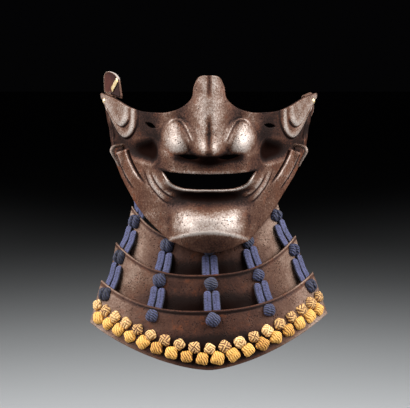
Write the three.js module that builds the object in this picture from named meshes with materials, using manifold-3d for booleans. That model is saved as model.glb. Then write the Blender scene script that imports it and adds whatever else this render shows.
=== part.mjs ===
// Face guard of russet iron with a throat guard of three curved lames hung on blue silk lacing.
// Millimetres, +Z up, the face looks along -Y. The origin is where the wearer's chin rests inside.
// Left and right are as seen from the front, so left is -X.
import * as THREE from 'three';
import { mergeVertices } from 'three/addons/utils/BufferGeometryUtils.js';
import Module from 'manifold-3d';

const wasm = await Module();
wasm.setup();

// Driving dimensions
const PLATE_WALL = 1.6;
const LAME_WALL = 1.2;
const FIT_GAP = 0.35;
const WELD = 0.03;
const CORNER_WELD = 1e-3;
const GRID_WELD = 1e-4;
const SLOPE_STEP = 0.05;
const TURN_STEP = 0.01;
const EAR_HALF_WIDTH = 85;
const EAR_DEPTH = 92;
const SWEEP_POWER = 2.2;
const MOUTH_CORNER = 0.42;
const MOUTH_COLUMNS = 10;
const CHEEK_COLUMNS = 10;
const LOWER_ROWS = 9;
const UPPER_ROWS = 13;
const RIB_STEPS = 100;
const HOLE = { plateReach: 8, plateSides: 8, lameReach: 4, lameSides: 6 };

// Ribs of the right half of the face, from the chin rim over the lips to the upper rim, each point
// as its distance from the middle plane and its height.
const RIBS = [
  { u: 0.00, chin: [0, -20.5], lowLip: [0, 26.0], upLip: [0, 39.2], rim: [0, 112.2] },
  { u: 0.08, chin: [8, -19.6], lowLip: [6.5, 26.0], upLip: [6.5, 39.3], rim: [7.3, 110.8] },
  { u: 0.16, chin: [16, -17.3], lowLip: [13.5, 26.1], upLip: [13.5, 39.4], rim: [11, 104.6] },
  { u: 0.24, chin: [23.5, -14.2], lowLip: [21, 26.7], upLip: [20.5, 39.6], rim: [13.2, 95] },
  { u: 0.32, chin: [30.2, -12.2], lowLip: [28.7, 30], upLip: [28.5, 40.1], rim: [21, 87.5] },
  { u: 0.42, chin: [37.2, -5.2], lowLip: [37, 40.7], upLip: [37, 40.7], rim: [32, 83.6] },
  { u: 0.52, chin: [44.2, 2.2], lowLip: [45, 45], upLip: [45, 45], rim: [42, 83.2] },
  { u: 0.64, chin: [51.2, 11.2], lowLip: [54, 50], upLip: [54, 50], rim: [52, 83.6] },
  { u: 0.76, chin: [58, 21], lowLip: [63, 56], upLip: [63, 56], rim: [62, 86.4] },
  { u: 0.88, chin: [67, 33.5], lowLip: [72, 63.5], upLip: [72, 63.5], rim: [73, 91.5] },
  { u: 1.00, chin: [76.5, 50], lowLip: [80.8, 72], upLip: [80.8, 72], rim: [85, 95] },
];

// Profile of the face on its middle plane, without the nose and lips.
const PROFILE = [
  { z: -25, depth: -5.5 },
  { z: -4.4, depth: -5.5 },
  { z: 3, depth: -3.6 },
  { z: 10, depth: -0.9 },
  { z: 16, depth: 2.4 },
  { z: 20, depth: 3.2 },
  { z: 24, depth: 2 },
  { z: 40, depth: 1.5 },
  { z: 55, depth: 2 },
  { z: 80, depth: 4 },
  { z: 115, depth: 9 },
];

// Nose ridge: how far it stands out and how wide it is at each height.
const NOSE = [
  { z: 44, height: 0, halfWidth: 10 },
  { z: 47.5, height: 1, halfWidth: 10.5 },
  { z: 51, height: 8, halfWidth: 12 },
  { z: 54, height: 14, halfWidth: 14 },
  { z: 58, height: 16.5, halfWidth: 16 },
  { z: 66, height: 15.5, halfWidth: 20 },
  { z: 78, height: 13.5, halfWidth: 23 },
  { z: 88, height: 12, halfWidth: 25 },
  { z: 98, height: 10.5, halfWidth: 24 },
  { z: 115, height: 8, halfWidth: 22 },
];

const NOSE_POWER = 1.2;
const WING = { x: 23.5, z: 65.5, radiusX: 13.5, radiusUp: 15, radiusDown: 13, height: 6.5, power: 1.3 };
const HOLLOW = { x: 44, z: 54, radiusIn: 6, radiusOut: 23, radiusZ: 11, depth: 11 };
const MUZZLE = { height: 6, edge: 26, wall: 16, lowZ: 25, lowRise: 9, highZ: 52, highFall: 18 };
const BOSS = { height: 7, half: 31, power: 1.2, fullZ: 4, goneZ: 20 };
const CHIN = { fadeFrom: 18, fadeTo: 40, creaseZ: -4.4, creaseDrop: 6.5, creaseHalf: 28, underSlope: 0.5 };
const LIPS = { corner: 37, fade: 7, spread: 2.2 };
const LOW_LIP = { z: 26, lift: 14.7, power: 4, roll: 1.6 };
const UP_LIP = { z: 39.2, lift: 1.5, power: 2, roll: 0.3 };
const JAW_SPREAD = { from: 0.34, width: 4.5 };

// Leaf-shaped openings through the face: both cheek slots lean the same way and the nostrils rise outwards.
const OPENINGS = [
  { x: -44.6, z: 73.8, length: 10, width: 4.2, tilt: -0.36 },
  { x: 46.4, z: 73.4, length: 10, width: 4, tilt: -0.22 },
  { x: -14.6, z: 51.4, length: 17.2, width: 4.2, tilt: -0.1 },
  { x: 14.6, z: 51.4, length: 17.2, width: 4.2, tilt: 0.1 },
];
const OPENING_REACH = 12;
const LEAF_STEPS = 5;

// Lames of the throat guard: front point, bend radius, height and end rise of each edge.
const LAME_SPAN = THREE.MathUtils.degToRad(61.5);
const LAME_COLUMNS = 28;
const LAME_ROWS = 2;
const GUARD_FLATTEN = 0.88;
const GUARD_ROLL = THREE.MathUtils.degToRad(2.2);
const GUARD_SHIFT = -3;
const LAMES = [
  {
    name: 'throat_lame_top',
    top: { front: 13, radius: 64, z: -13, rise: 24.5, power: 3.2 },
    bottom: { front: 3, radius: 74, z: -47, rise: 22, power: 2.6 },
  },
  {
    name: 'throat_lame_middle',
    top: { front: -1, radius: 79, z: -38, rise: 22.6, power: 2.9 },
    bottom: { front: -7.5, radius: 88, z: -72.5, rise: 20.5, power: 2.6 },
  },
  {
    name: 'throat_lame_bottom',
    top: { front: -12, radius: 93, z: -63.5, rise: 19.8, power: 2.7 },
    bottom: { front: -22, radius: 104, z: -105.6, rise: 31, power: 1.55 },
  },
];

// Blue lacing: five columns, each a pair of flat braids between knots. The anchor is the height above
// the jaw rim where a column's hidden end leaves the plate.
const LACING = [
  { name: 'lacing_far_left', angle: -55.5, anchor: 2.5 },
  { name: 'lacing_left', angle: -26.5, anchor: 4 },
  { name: 'lacing_centre', angle: 2, anchor: 9 },
  { name: 'lacing_right', angle: 28.8, anchor: 4 },
  { name: 'lacing_far_right', angle: 56, anchor: 2.5 },
];
const STRAND = { width: 5.4, flat: 0.72, thickness: 1.8, spacing: 3, tuck: 1.5, past: 1, clear: 0.4 };
const STRAND_OUT = FIT_GAP + STRAND.thickness / 2;
const STRAND_IN = -LAME_WALL - STRAND_OUT;
const KNOT = { drop: 6.5, radius: 5.2, height: 4, neck: 1.5, neckSides: 6, sides: 8 };
const STRAND_START = 10;
const STRAND_LEAD = 3;
const ANCHOR_LENGTH = 5;

// Gold knots along the foot of the bottom lame, in two staggered rows.
const GOLD_STEP = THREE.MathUtils.degToRad(6.51);
const GOLD_ROWS = [
  { name: 'gold_knots_upper', count: 19, rise: 15.2, radius: 3.8, height: 3.3 },
  { name: 'gold_knots_lower', count: 18, rise: 7.6, radius: 4.2, height: 3.7 },
];
const GOLD_NECK = { radius: 0.9, sides: 4, gap: 0.45, bite: 1, thread: 1, band: 2.4, knotSides: 7 };

// Domes, each as shares of its radius and height from the foot to the top.
const KNOT_DOME = [[0.9, 0], [1, 0.4], [0.62, 0.85], [0, 1]];
const GOLD_DOME = [[1, 0], [0.9, 0.5], [0, 1]];
const RIVET_DOME = [[1, 0], [0.75, 0.75], [0, 1]];

// Cord hook: a bent rod through the jaw.
const HOOK = { x: 67.5, z: 56, radius: 1.15, reach: 10, inside: 1.2, sag: 2.6 };
const HOOK_TAIL = { x: -6.5, y: 2, z: -13.5 };
const HOOK_BEND = { reach: 0.8, sag: 0.5, turn: 0.12, straight: 0.55, steps: 14, arcSteps: 4 };

// Ear flap on a hinge just below the rear end of each cheek's upper rim, on its inside.
const HINGE = {
  frontX: 79, rearX: 85, above: -1.2, inset: 3.4, barrel: 2.1, bore: 1.25, pin: 0.85, gap: 0.4,
};
const KNUCKLE_SHARE = 1 / 3;
const KNUCKLE_TAB = { half: 0.45, root: 2.2 };
const HINGE_SIDES = { barrel: 12, pin: 8 };
const FLAP = { thickness: 1.4, foot: 1.6, rearFoot: 5, rearFlare: 9, shoulder: 12.4, top: 19.4 };
const FLAP_BOW = { share: 0.4, steps: 6 };
const FLAP_FRONT = { along: -8.5, up: 15.9 };
const FLAP_WEB = { root: -3, tip: -16.5, foot: 2, edge: 4.4 };
const FLAP_LEAN = THREE.MathUtils.degToRad(3);
const FLAP_FOLD = THREE.MathUtils.degToRad(170);
const GILT = { from: [2.3, 5.8], to: [-7.6, 15.6], width: 3.6, thickness: 1 };
const RIVET = { x: 81.5, z: 89.5, radius: 2.6, height: 2.4, stem: 1, inside: 0.6, sides: 10 };

// Finishes
const russet = { color: 0x6d4636, roughness: 0.42, metalness: 0.7 };
const indigo = { color: 0x3c3f63, roughness: 0.85, metalness: 0 };
const goldSilk = { color: 0xc99c4f, roughness: 0.6, metalness: 0.1 };
const gilt = { color: 0xcfa45c, roughness: 0.35, metalness: 0.9 };

function smoothstep(from, to, value) {
  return THREE.MathUtils.smoothstep(value, from, to);
}

function bell(distance, spread) {
  return Math.exp(-((distance / spread) ** 2));
}

// Smooth curve through what is read from each row of a table, with slopes from the neighbouring rows.
function readTable(rows, key, value, read) {
  const last = rows.length - 2;
  const found = rows.findIndex((row, i) => i <= last && value <= rows[i + 1][key]);
  const i = found < 0 ? last : found;
  const slope = (j) => {
    const a = rows[Math.max(j - 1, 0)];
    const b = rows[Math.min(j + 1, rows.length - 1)];
    return (read(b) - read(a)) / (b[key] - a[key]);
  };
  const step = rows[i + 1][key] - rows[i][key];
  const t = THREE.MathUtils.clamp((value - rows[i][key]) / step, 0, 1);
  const rise = read(rows[i + 1]) - read(rows[i]);
  const m0 = slope(i) * step;
  const m1 = slope(i + 1) * step;
  return read(rows[i]) + t * (m0 + t * (3 * rise - 2 * m0 - m1 + t * (m0 + m1 - 2 * rise)));
}

// Closed solid from points and triangles that face outwards.
function solidOf(points, triangles) {
  const vertProperties = new Float32Array(points.flatMap((p) => [p.x, p.y, p.z]));
  const triVerts = new Uint32Array(triangles.flat());
  return new wasm.Manifold(new wasm.Mesh({ numProp: 3, vertProperties, triVerts }));
}

// Closed solid from a geometry, placed by a matrix, with its shared corners welded.
function solidFrom(geometry, matrix = new THREE.Matrix4()) {
  const bare = geometry.clone().applyMatrix4(matrix);
  bare.deleteAttribute('normal');
  bare.deleteAttribute('uv');
  const welded = mergeVertices(bare, CORNER_WELD);
  const position = welded.getAttribute('position');
  const points = [];
  for (let i = 0; i < position.count; i += 1) {
    points.push(new THREE.Vector3().fromBufferAttribute(position, i));
  }
  const triangles = [];
  for (let i = 0; i < welded.index.count; i += 3) {
    const corner = [0, 1, 2].map((k) => welded.index.getX(i + k));
    if (new Set(corner).size === 3) triangles.push(corner);
  }
  return solidOf(points, triangles);
}

function joined(solids) {
  return solids.reduce((whole, next) => whole.add(next));
}

function cut(solid, cutters) {
  return cutters.reduce((rest, cutter) => rest.subtract(cutter), solid);
}

// Corners closer together than the weld distance become one, and triangles that vanish are dropped.
function weldedTriangles({ vertProperties, triVerts }) {
  const home = Array.from({ length: vertProperties.length / 3 }, (_, i) => i);
  const find = (i) => (home[i] === i ? i : find(home[i]));
  const corner = (i) => new THREE.Vector3().fromArray(vertProperties, 3 * i);
  const count = triVerts.length / 3;
  const triangles = Array.from({ length: count }, (_, i) => [...triVerts.slice(3 * i, 3 * i + 3)]);
  for (const [a, b, c] of triangles) {
    for (const [from, to] of [[a, b], [b, c], [c, a]]) {
      if (corner(from).distanceTo(corner(to)) < WELD) home[find(from)] = find(to);
    }
  }
  const kept = new Map();
  for (const triangle of triangles) {
    const moved = triangle.map(find);
    const label = [...moved].sort((a, b) => a - b).join();
    if (new Set(moved).size < 3) continue;
    if (kept.has(label)) kept.delete(label);
    else kept.set(label, moved);
  }
  return [...kept.values()].flat();
}

function meshOf(name, solid, finish) {
  const data = solid.getMesh();
  const geometry = new THREE.BufferGeometry();
  geometry.setAttribute('position', new THREE.BufferAttribute(data.vertProperties, 3));
  geometry.setIndex(weldedTriangles(data));
  geometry.computeVertexNormals();
  const mesh = new THREE.Mesh(geometry, new THREE.MeshStandardMaterial(finish));
  mesh.name = name;
  return mesh;
}

// Open sheet of welded triangles from grids of points, each grid facing out along its winding.
function sheetOf(grids) {
  const points = [];
  const triangles = [];
  const known = new Map();
  const weld = (p) => {
    const label = [p.x, p.y, p.z].map((value) => Math.round(value / GRID_WELD)).join();
    if (!known.has(label)) known.set(label, points.push(p) - 1);
    return known.get(label);
  };
  for (const grid of grids) {
    const index = grid.map((row) => row.map(weld));
    for (let r = 0; r + 1 < index.length; r += 1) {
      for (let c = 0; c + 1 < index[r].length; c += 1) {
        const [a, b] = [index[r][c], index[r][c + 1]];
        const [d, e] = [index[r + 1][c], index[r + 1][c + 1]];
        triangles.push([a, b, e], [a, e, d]);
      }
    }
  }
  return { points, triangles: triangles.filter((corner) => new Set(corner).size === 3) };
}

// Closed plate: the sheet, a copy of it one wall further in, and a strip round each open edge.
function plateOf({ points, triangles }, wall) {
  const normals = points.map(() => new THREE.Vector3());
  const edges = new Map();
  for (const [a, b, c] of triangles) {
    const ab = points[b].clone().sub(points[a]);
    const ac = points[c].clone().sub(points[a]);
    const normal = ab.cross(ac);
    for (const corner of [a, b, c]) normals[corner].add(normal);
    for (const edge of [[a, b], [b, c], [c, a]]) edges.set(edge.join(), edge);
  }
  const inner = points.map((p, i) => p.clone().addScaledVector(normals[i].normalize(), -wall));
  const n = points.length;
  const skin = triangles.flatMap(([a, b, c]) => [[a, b, c], [c + n, b + n, a + n]]);
  const open = [...edges.values()].filter(([a, b]) => !edges.has([b, a].join()));
  const rim = open.flatMap(([a, b]) => [[b, a, a + n], [b, a + n, b + n]]);
  return solidOf([...points, ...inner], [...skin, ...rim]);
}

// Turned solid: a profile of [radius, height] pairs from axis to axis, standing on a place.
function turned(profile, sides, { origin, axis }) {
  const outline = profile.map(([radius, height]) => new THREE.Vector2(radius, height));
  const turn = new THREE.Quaternion().setFromUnitVectors(new THREE.Vector3(0, 1, 0), axis);
  const matrix = new THREE.Matrix4().compose(origin, turn, new THREE.Vector3(1, 1, 1));
  return solidFrom(new THREE.LatheGeometry(outline, sides), matrix);
}

function rod(radius, from, to, sides, place) {
  return turned([[0, from], [radius, from], [radius, to], [0, to]], sides, place);
}

// Profile of a dome from its foot to its top, out of a table of shares.
function domeProfile(shares, radius, height) {
  return shares.map(([out, up]) => [radius * out, Math.max(height * up, FIT_GAP)]);
}

// Solid carried along stations, each with a place, a side direction and an up direction.
function carried(section, stations) {
  const n = section.length;
  const points = stations.flatMap(({ place, side, up }) => section.map(([across, above]) => (
    place.clone().addScaledVector(side, across).addScaledVector(up, above)
  )));
  const triangles = [];
  for (let s = 0; s + 1 < stations.length; s += 1) {
    for (let k = 0; k < n; k += 1) {
      const a = s * n + k;
      const b = s * n + ((k + 1) % n);
      triangles.push([a, b, b + n], [a, b + n, a + n]);
    }
  }
  const end = points.length - n;
  for (let k = 1; k + 1 < n; k += 1) {
    triangles.push([0, k + 1, k], [end, end + k, end + k + 1]);
  }
  return solidOf(points, triangles);
}

// Depth of the outer face of the plate at a distance from the middle plane and a height.
function faceDepth(x, z) {
  const sweep = EAR_DEPTH * (x / EAR_HALF_WIDTH) ** SWEEP_POWER;
  const middle = 1 - smoothstep(CHIN.fadeFrom, CHIN.fadeTo, x);
  const profile = readTable(PROFILE, 'z', z, (row) => row.depth) * middle;

  const crease = CHIN.creaseZ - CHIN.creaseDrop * (x / CHIN.creaseHalf) ** 2;
  const under = CHIN.underSlope * Math.max(crease - z, 0) * middle;

  const noseHeight = readTable(NOSE, 'z', z, (row) => row.height);
  const noseReach = Math.min(x / readTable(NOSE, 'z', z, (row) => row.halfWidth), 1);
  const nose = noseHeight * (0.5 + 0.5 * Math.cos(Math.PI * noseReach ** NOSE_POWER));

  const wingX = (x - WING.x) / WING.radiusX;
  const wingZ = (z - WING.z) / (z > WING.z ? WING.radiusUp : WING.radiusDown);
  const wing = WING.height * Math.max(1 - wingX ** 2 - wingZ ** 2, 0) ** WING.power;

  const muzzleRise = smoothstep(MUZZLE.lowZ, MUZZLE.lowZ + MUZZLE.lowRise, z);
  const muzzleFall = smoothstep(MUZZLE.highZ, MUZZLE.highZ + MUZZLE.highFall, z);
  const muzzleEdge = smoothstep(MUZZLE.edge, MUZZLE.edge + MUZZLE.wall, x);
  const muzzle = MUZZLE.height * muzzleRise * (1 - muzzleFall) * (1 - muzzleEdge);

  const hollowX = (x - HOLLOW.x) / (x > HOLLOW.x ? HOLLOW.radiusOut : HOLLOW.radiusIn);
  const hollowZ = (z - HOLLOW.z) / HOLLOW.radiusZ;
  const hollow = HOLLOW.depth * Math.max(1 - hollowX ** 2 - hollowZ ** 2, 0) ** 2;

  const bossRound = Math.max(1 - (x / BOSS.half) ** 2, 0) ** BOSS.power;
  const boss = BOSS.height * bossRound * (1 - smoothstep(BOSS.fullZ, BOSS.goneZ, z));

  const lipFade = 1 - smoothstep(LIPS.corner - LIPS.fade, LIPS.corner, x);
  const lipRoll = (lip) => {
    const edge = lip.z + lip.lift * (x / LIPS.corner) ** lip.power;
    return lip.roll * bell(z - edge, LIPS.spread);
  };
  const lips = lipFade * (lipRoll(LOW_LIP) + lipRoll(UP_LIP));

  const raised = nose + wing + muzzle + lips + boss;
  return sweep + profile + under - raised + hollow;
}

// The hand-hammered left jaw stands a little wider than the right, most of all midway to the ear.
function jawSpread(rib) {
  const share = THREE.MathUtils.clamp((rib - JAW_SPREAD.from) / (1 - JAW_SPREAD.from), 0, 1);
  return JAW_SPREAD.width * Math.sin(Math.PI * share);
}

// Point of the plate's outer face on a rib, between two of the rib's named lines.
// Past the corner of the mouth both lips run on as one line.
function facePoint(u, v, low, high) {
  const rib = Math.abs(u);
  const line = (name) => (name === 'upLip' && rib >= MOUTH_CORNER ? 'lowLip' : name);
  const column = (name, axis) => readTable(RIBS, 'u', rib, (row) => row[line(name)][axis]);
  const spread = low === 'chin' && u < 0 ? jawSpread(rib) * (1 - v) : 0;
  const x = THREE.MathUtils.lerp(column(low, 0), column(high, 0), v) + spread;
  const z = THREE.MathUtils.lerp(column(low, 1), column(high, 1), v);
  return new THREE.Vector3(Math.sign(u) * x, faceDepth(x, z), z);
}

// Outward direction of the plate at a distance from the middle plane and a height.
function faceNormal(x, z) {
  const span = 2 * SLOPE_STEP;
  const slope = (dx, dz) => (faceDepth(x + dx, z + dz) - faceDepth(x - dx, z - dz)) / span;
  return new THREE.Vector3(slope(SLOPE_STEP, 0), -1, slope(0, SLOPE_STEP)).normalize();
}

// Place on the outer face at one side of the head, with its outward direction.
function cheekPlace(side, x, z) {
  const normal = faceNormal(x, z);
  const origin = new THREE.Vector3(side * x, faceDepth(x, z), z);
  return { origin, axis: new THREE.Vector3(side * normal.x, normal.y, normal.z) };
}

function faceGrid(low, high, rows) {
  const near = Array.from({ length: MOUTH_COLUMNS }, (_, i) => (MOUTH_CORNER * i) / MOUTH_COLUMNS);
  const far = Array.from({ length: CHEEK_COLUMNS + 1 }, (_, i) => (
    MOUTH_CORNER + ((1 - MOUTH_CORNER) * i) / CHEEK_COLUMNS
  ));
  const right = [...near, ...far];
  const left = right.slice(1).reverse().map((u) => -u);
  return Array.from({ length: rows + 1 }, (_, r) => (
    [...left, ...right].map((u) => facePoint(u, r / rows, low, high))
  ));
}

// Cutter for a leaf-shaped opening: two arcs that meet in points, carried through the plate.
function openingCutter({ x, z, length, width, tilt }) {
  const leaf = new THREE.Shape();
  leaf.moveTo(-length / 2, 0);
  leaf.quadraticCurveTo(0, -width, length / 2, 0);
  leaf.quadraticCurveTo(0, width, -length / 2, 0);
  const geometry = new THREE.ExtrudeGeometry(leaf, {
    depth: 2 * OPENING_REACH, bevelEnabled: false, curveSegments: LEAF_STEPS,
  });
  geometry.translate(0, 0, -OPENING_REACH);
  geometry.rotateZ(tilt);
  geometry.rotateX(Math.PI / 2);
  geometry.translate(x, faceDepth(Math.abs(x), z), z);
  return solidFrom(geometry);
}

// Hinge line of one side: a frame whose first axis runs along the pin from front to rear.
function hingeFrame(side) {
  const { frontX, rearX, above, inset } = HINGE;
  const rimPoint = (x) => {
    const index = RIBS.findIndex((row) => row.rim[0] >= x);
    const [a, b] = [RIBS[index - 1].rim, RIBS[index].rim];
    const z = THREE.MathUtils.mapLinear(x, a[0], b[0], a[1], b[1]);
    return new THREE.Vector3(side * x, faceDepth(x, z), z);
  };
  const front = rimPoint(frontX);
  const rear = rimPoint(rearX);
  const along = rear.clone().sub(front).normalize();
  const up = new THREE.Vector3(0, 0, 1).addScaledVector(along, -along.z).normalize();
  const across = up.clone().cross(along);
  const inward = across.clone().multiplyScalar(-side * Math.sign(across.x));
  const offset = inward.clone().multiplyScalar(PLATE_WALL / 2 + inset).addScaledVector(up, above);
  const origin = front.clone().add(offset);
  const matrix = new THREE.Matrix4().makeBasis(along, across, up).setPosition(origin);
  return { matrix, length: rear.distanceTo(front), inwardSign: Math.sign(inward.dot(across)) };
}

// Knuckle of the hinge: a bored barrel between two distances along the pin.
function knuckle(from, to) {
  const { bore, barrel } = HINGE;
  const outline = [[bore, from], [barrel, from], [barrel, to], [bore, to], [bore, from]];
  const ring = outline.map(([radius, height]) => new THREE.Vector2(radius, height));
  const geometry = new THREE.LatheGeometry(ring, HINGE_SIDES.barrel);
  geometry.rotateZ(-Math.PI / 2);
  return solidFrom(geometry);
}

function knuckleRanges(length) {
  const share = length * KNUCKLE_SHARE;
  const half = HINGE.gap / 2;
  return {
    front: [half, share - half],
    middle: [share + half, 2 * share - half],
    rear: [2 * share + half, length - half],
  };
}

// Knuckle that belongs to the cheek, with the tab that grows out of the plate's rim.
function cheekKnuckle(side) {
  const { matrix, length, inwardSign } = hingeFrame(side);
  const [from, to] = knuckleRanges(length).middle;
  const wallMiddle = HINGE.inset;
  const grip = PLATE_WALL / 4;
  const half = HINGE.barrel * KNUCKLE_TAB.half;
  const inside = (HINGE.bore + HINGE.barrel) / 2;
  const rootZ = -HINGE.above - KNUCKLE_TAB.root;
  const corners = [
    [wallMiddle + grip, rootZ],
    [wallMiddle + grip, half],
    [inside, half],
    [inside, -half],
    [wallMiddle - grip, -half],
    [wallMiddle - grip, rootZ],
  ];
  const shape = new THREE.Shape(corners.map(([out, up]) => new THREE.Vector2(-inwardSign * out, up)));
  const tab = new THREE.ExtrudeGeometry(shape, { depth: to - from, bevelEnabled: false });
  tab.applyMatrix4(new THREE.Matrix4().set(0, 0, 1, from, 1, 0, 0, 0, 0, 1, 0, 0, 0, 0, 0, 1));
  return knuckle(from, to).add(solidFrom(tab)).transform(matrix.elements);
}

function facePlate() {
  const sheet = sheetOf([
    faceGrid('chin', 'lowLip', LOWER_ROWS),
    faceGrid('upLip', 'rim', UPPER_ROWS),
  ]);
  const sides = [-1, 1];
  const hole = (side, radius, { x, z }) => rod(
    radius + FIT_GAP, -HOLE.plateReach, HOLE.plateReach, HOLE.plateSides, cheekPlace(side, x, z),
  );
  const holes = sides.flatMap((side) => [hole(side, HOOK.radius, HOOK), hole(side, RIVET.stem, RIVET)]);
  const plate = joined([plateOf(sheet, PLATE_WALL), ...sides.map(cheekKnuckle)]);
  return meshOf('face_plate', cut(plate, [...OPENINGS.map(openingCutter), ...holes]), russet);
}

// Roll of the throat guard: it hangs a little higher on the right.
function rolled(x, y, z) {
  const place = new THREE.Vector3(x, y, z).applyAxisAngle(new THREE.Vector3(0, 1, 0), -GUARD_ROLL);
  return place.setX(place.x + GUARD_SHIFT);
}

function edgePoint({ front, radius, z, rise, power }, angle) {
  const share = Math.abs(Math.sin(angle)) / Math.sin(LAME_SPAN);
  const depth = front + GUARD_FLATTEN * radius * (1 - Math.cos(angle));
  return rolled(radius * Math.sin(angle), depth, z + rise * share ** power);
}

// Station on a lame: a distance below the top edge and a distance out from its outer face.
function lameStation(lame, angle, drop, out) {
  const top = edgePoint(lame.top, angle);
  const foot = edgePoint(lame.bottom, angle);
  const down = foot.clone().sub(top).normalize();
  const ahead = edgePoint(lame.top, angle + TURN_STEP);
  const side = ahead.sub(edgePoint(lame.top, angle - TURN_STEP)).normalize();
  const up = down.clone().cross(side).normalize();
  const across = up.clone().cross(down).normalize();
  const place = top.addScaledVector(down, drop).addScaledVector(up, out);
  return { place, side: across, up, height: foot.distanceTo(edgePoint(lame.top, angle)) };
}

function lamePlace(lame, angle, drop) {
  const { place, up } = lameStation(lame, angle, drop, 0);
  return { origin: place, axis: up };
}

function lameSheet(lame) {
  const rows = Array.from({ length: LAME_ROWS + 1 }, (_, r) => r / LAME_ROWS);
  const angles = Array.from({ length: LAME_COLUMNS + 1 }, (_, c) => (
    THREE.MathUtils.lerp(-LAME_SPAN, LAME_SPAN, c / LAME_COLUMNS)
  ));
  const grid = rows.map((v) => angles.map((angle) => (
    edgePoint(lame.bottom, angle).lerp(edgePoint(lame.top, angle), v)
  )));
  return sheetOf([grid]);
}

function goldAngles(count) {
  return Array.from({ length: count }, (_, i) => (i - (count - 1) / 2) * GOLD_STEP);
}

function goldDrop(angle, rise) {
  return lameStation(LAMES[2], angle, 0, 0).height - rise;
}

function lameMesh(lame) {
  const { lameReach: reach, lameSides } = HOLE;
  const knotHoles = LACING.map(({ angle }) => {
    const place = lamePlace(lame, THREE.MathUtils.degToRad(angle), KNOT.drop);
    return rod(KNOT.neck + FIT_GAP, -reach, reach, lameSides, place);
  });
  const goldHole = (angle, rise) => {
    const place = lamePlace(lame, angle, goldDrop(angle, rise));
    return rod(GOLD_NECK.radius + GOLD_NECK.gap, -reach, reach, GOLD_NECK.sides, place);
  };
  const goldHoles = GOLD_ROWS.flatMap(({ count, rise }) => (
    goldAngles(count).map((angle) => goldHole(angle, rise))
  ));
  const holes = lame === LAMES[2] ? [...knotHoles, ...goldHoles] : knotHoles;
  return meshOf(lame.name, cut(plateOf(lameSheet(lame), LAME_WALL), holes), russet);
}

// Flat braid with rounded edges.
function strandSection() {
  const [w, t] = [STRAND.width / 2, STRAND.thickness / 2];
  const flat = w * STRAND.flat;
  return [[w, 0], [flat, t], [-flat, t], [-w, 0], [-flat, -t], [flat, -t]];
}

// Domed knot with the neck that goes back through the plate.
function knotOn(lame, angle) {
  const { drop, radius, height, neck, neckSides, sides } = KNOT;
  const back = -LAME_WALL - FIT_GAP - STRAND.thickness / 2;
  const place = lamePlace(lame, angle, drop);
  const profile = [[0, FIT_GAP], ...domeProfile(KNOT_DOME, radius, height)];
  return turned(profile, sides, place).add(rod(neck, back, height / 2, neckSides, place));
}

// Ends of a braid behind a lame: down past its top edge and on to the knot's hole.
function strandFoot(lame, angle, offset) {
  const past = angle + offset / lame.top.radius;
  const hole = angle + (Math.sign(offset) * STRAND.tuck) / lame.top.radius;
  return [
    lameStation(lame, past, -STRAND_LEAD, STRAND_IN - STRAND.clear),
    lameStation(lame, past, STRAND_LEAD / 2, STRAND_IN),
    lameStation(lame, hole, KNOT.drop + STRAND.past, STRAND_IN),
  ];
}

// Braid from the front of one lame to the back of the next.
function strandBetween(upper, lower, angle, offset) {
  const turn = angle + offset / upper.bottom.radius;
  const goal = edgePoint(lower.top, angle + offset / lower.top.radius).z;
  const top = edgePoint(upper.top, turn).z;
  const foot = edgePoint(upper.bottom, turn).z;
  const height = lameStation(upper, turn, 0, 0).height;
  const leave = (height * (top - goal)) / (top - foot) - 2 * STRAND_LEAD;
  const stations = [
    lameStation(upper, turn, STRAND_START, STRAND_OUT),
    lameStation(upper, turn, leave, STRAND_OUT),
    ...strandFoot(lower, angle, offset).slice(1),
  ];
  return carried(strandSection(), stations);
}

// Braid from inside the jaw, where its hidden end lies against the plate, to the top lame.
function strandFromJaw(angle, offset, anchor) {
  const feet = strandFoot(LAMES[0], angle, offset);
  const x = feet[0].place.x;
  const ribs = Array.from({ length: RIB_STEPS + 1 }, (_, i) => i / RIB_STEPS);
  const rib = ribs.find((u) => readTable(RIBS, 'u', u, (row) => row.chin[0]) >= Math.abs(x));
  const height = facePoint(rib, 0, 'chin', 'lowLip').distanceTo(facePoint(rib, 1, 'chin', 'lowLip'));
  const anchors = [anchor + ANCHOR_LENGTH, anchor].map((distance) => {
    const outer = facePoint(Math.sign(x) * rib, distance / height, 'chin', 'lowLip');
    const normal = faceNormal(Math.abs(outer.x), outer.z);
    normal.setX(Math.sign(x) * normal.x);
    const down = new THREE.Vector3(0, 0, -1).addScaledVector(normal, normal.z).normalize();
    const place = outer.addScaledVector(normal, -PLATE_WALL - STRAND_OUT - STRAND.clear);
    return { place, side: normal.clone().cross(down), up: normal };
  });
  return carried(strandSection(), [...anchors, ...feet]);
}

function lacingMesh({ name, angle: degrees, anchor }) {
  const angle = THREE.MathUtils.degToRad(degrees);
  const offsets = [-STRAND.spacing, STRAND.spacing];
  const strands = offsets.flatMap((offset) => [
    strandFromJaw(angle, offset, anchor),
    strandBetween(LAMES[0], LAMES[1], angle, offset),
    strandBetween(LAMES[1], LAMES[2], angle, offset),
  ]);
  const knots = LAMES.map((lame) => knotOn(lame, angle));
  return meshOf(name, joined([...strands, ...knots]), indigo);
}

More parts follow.
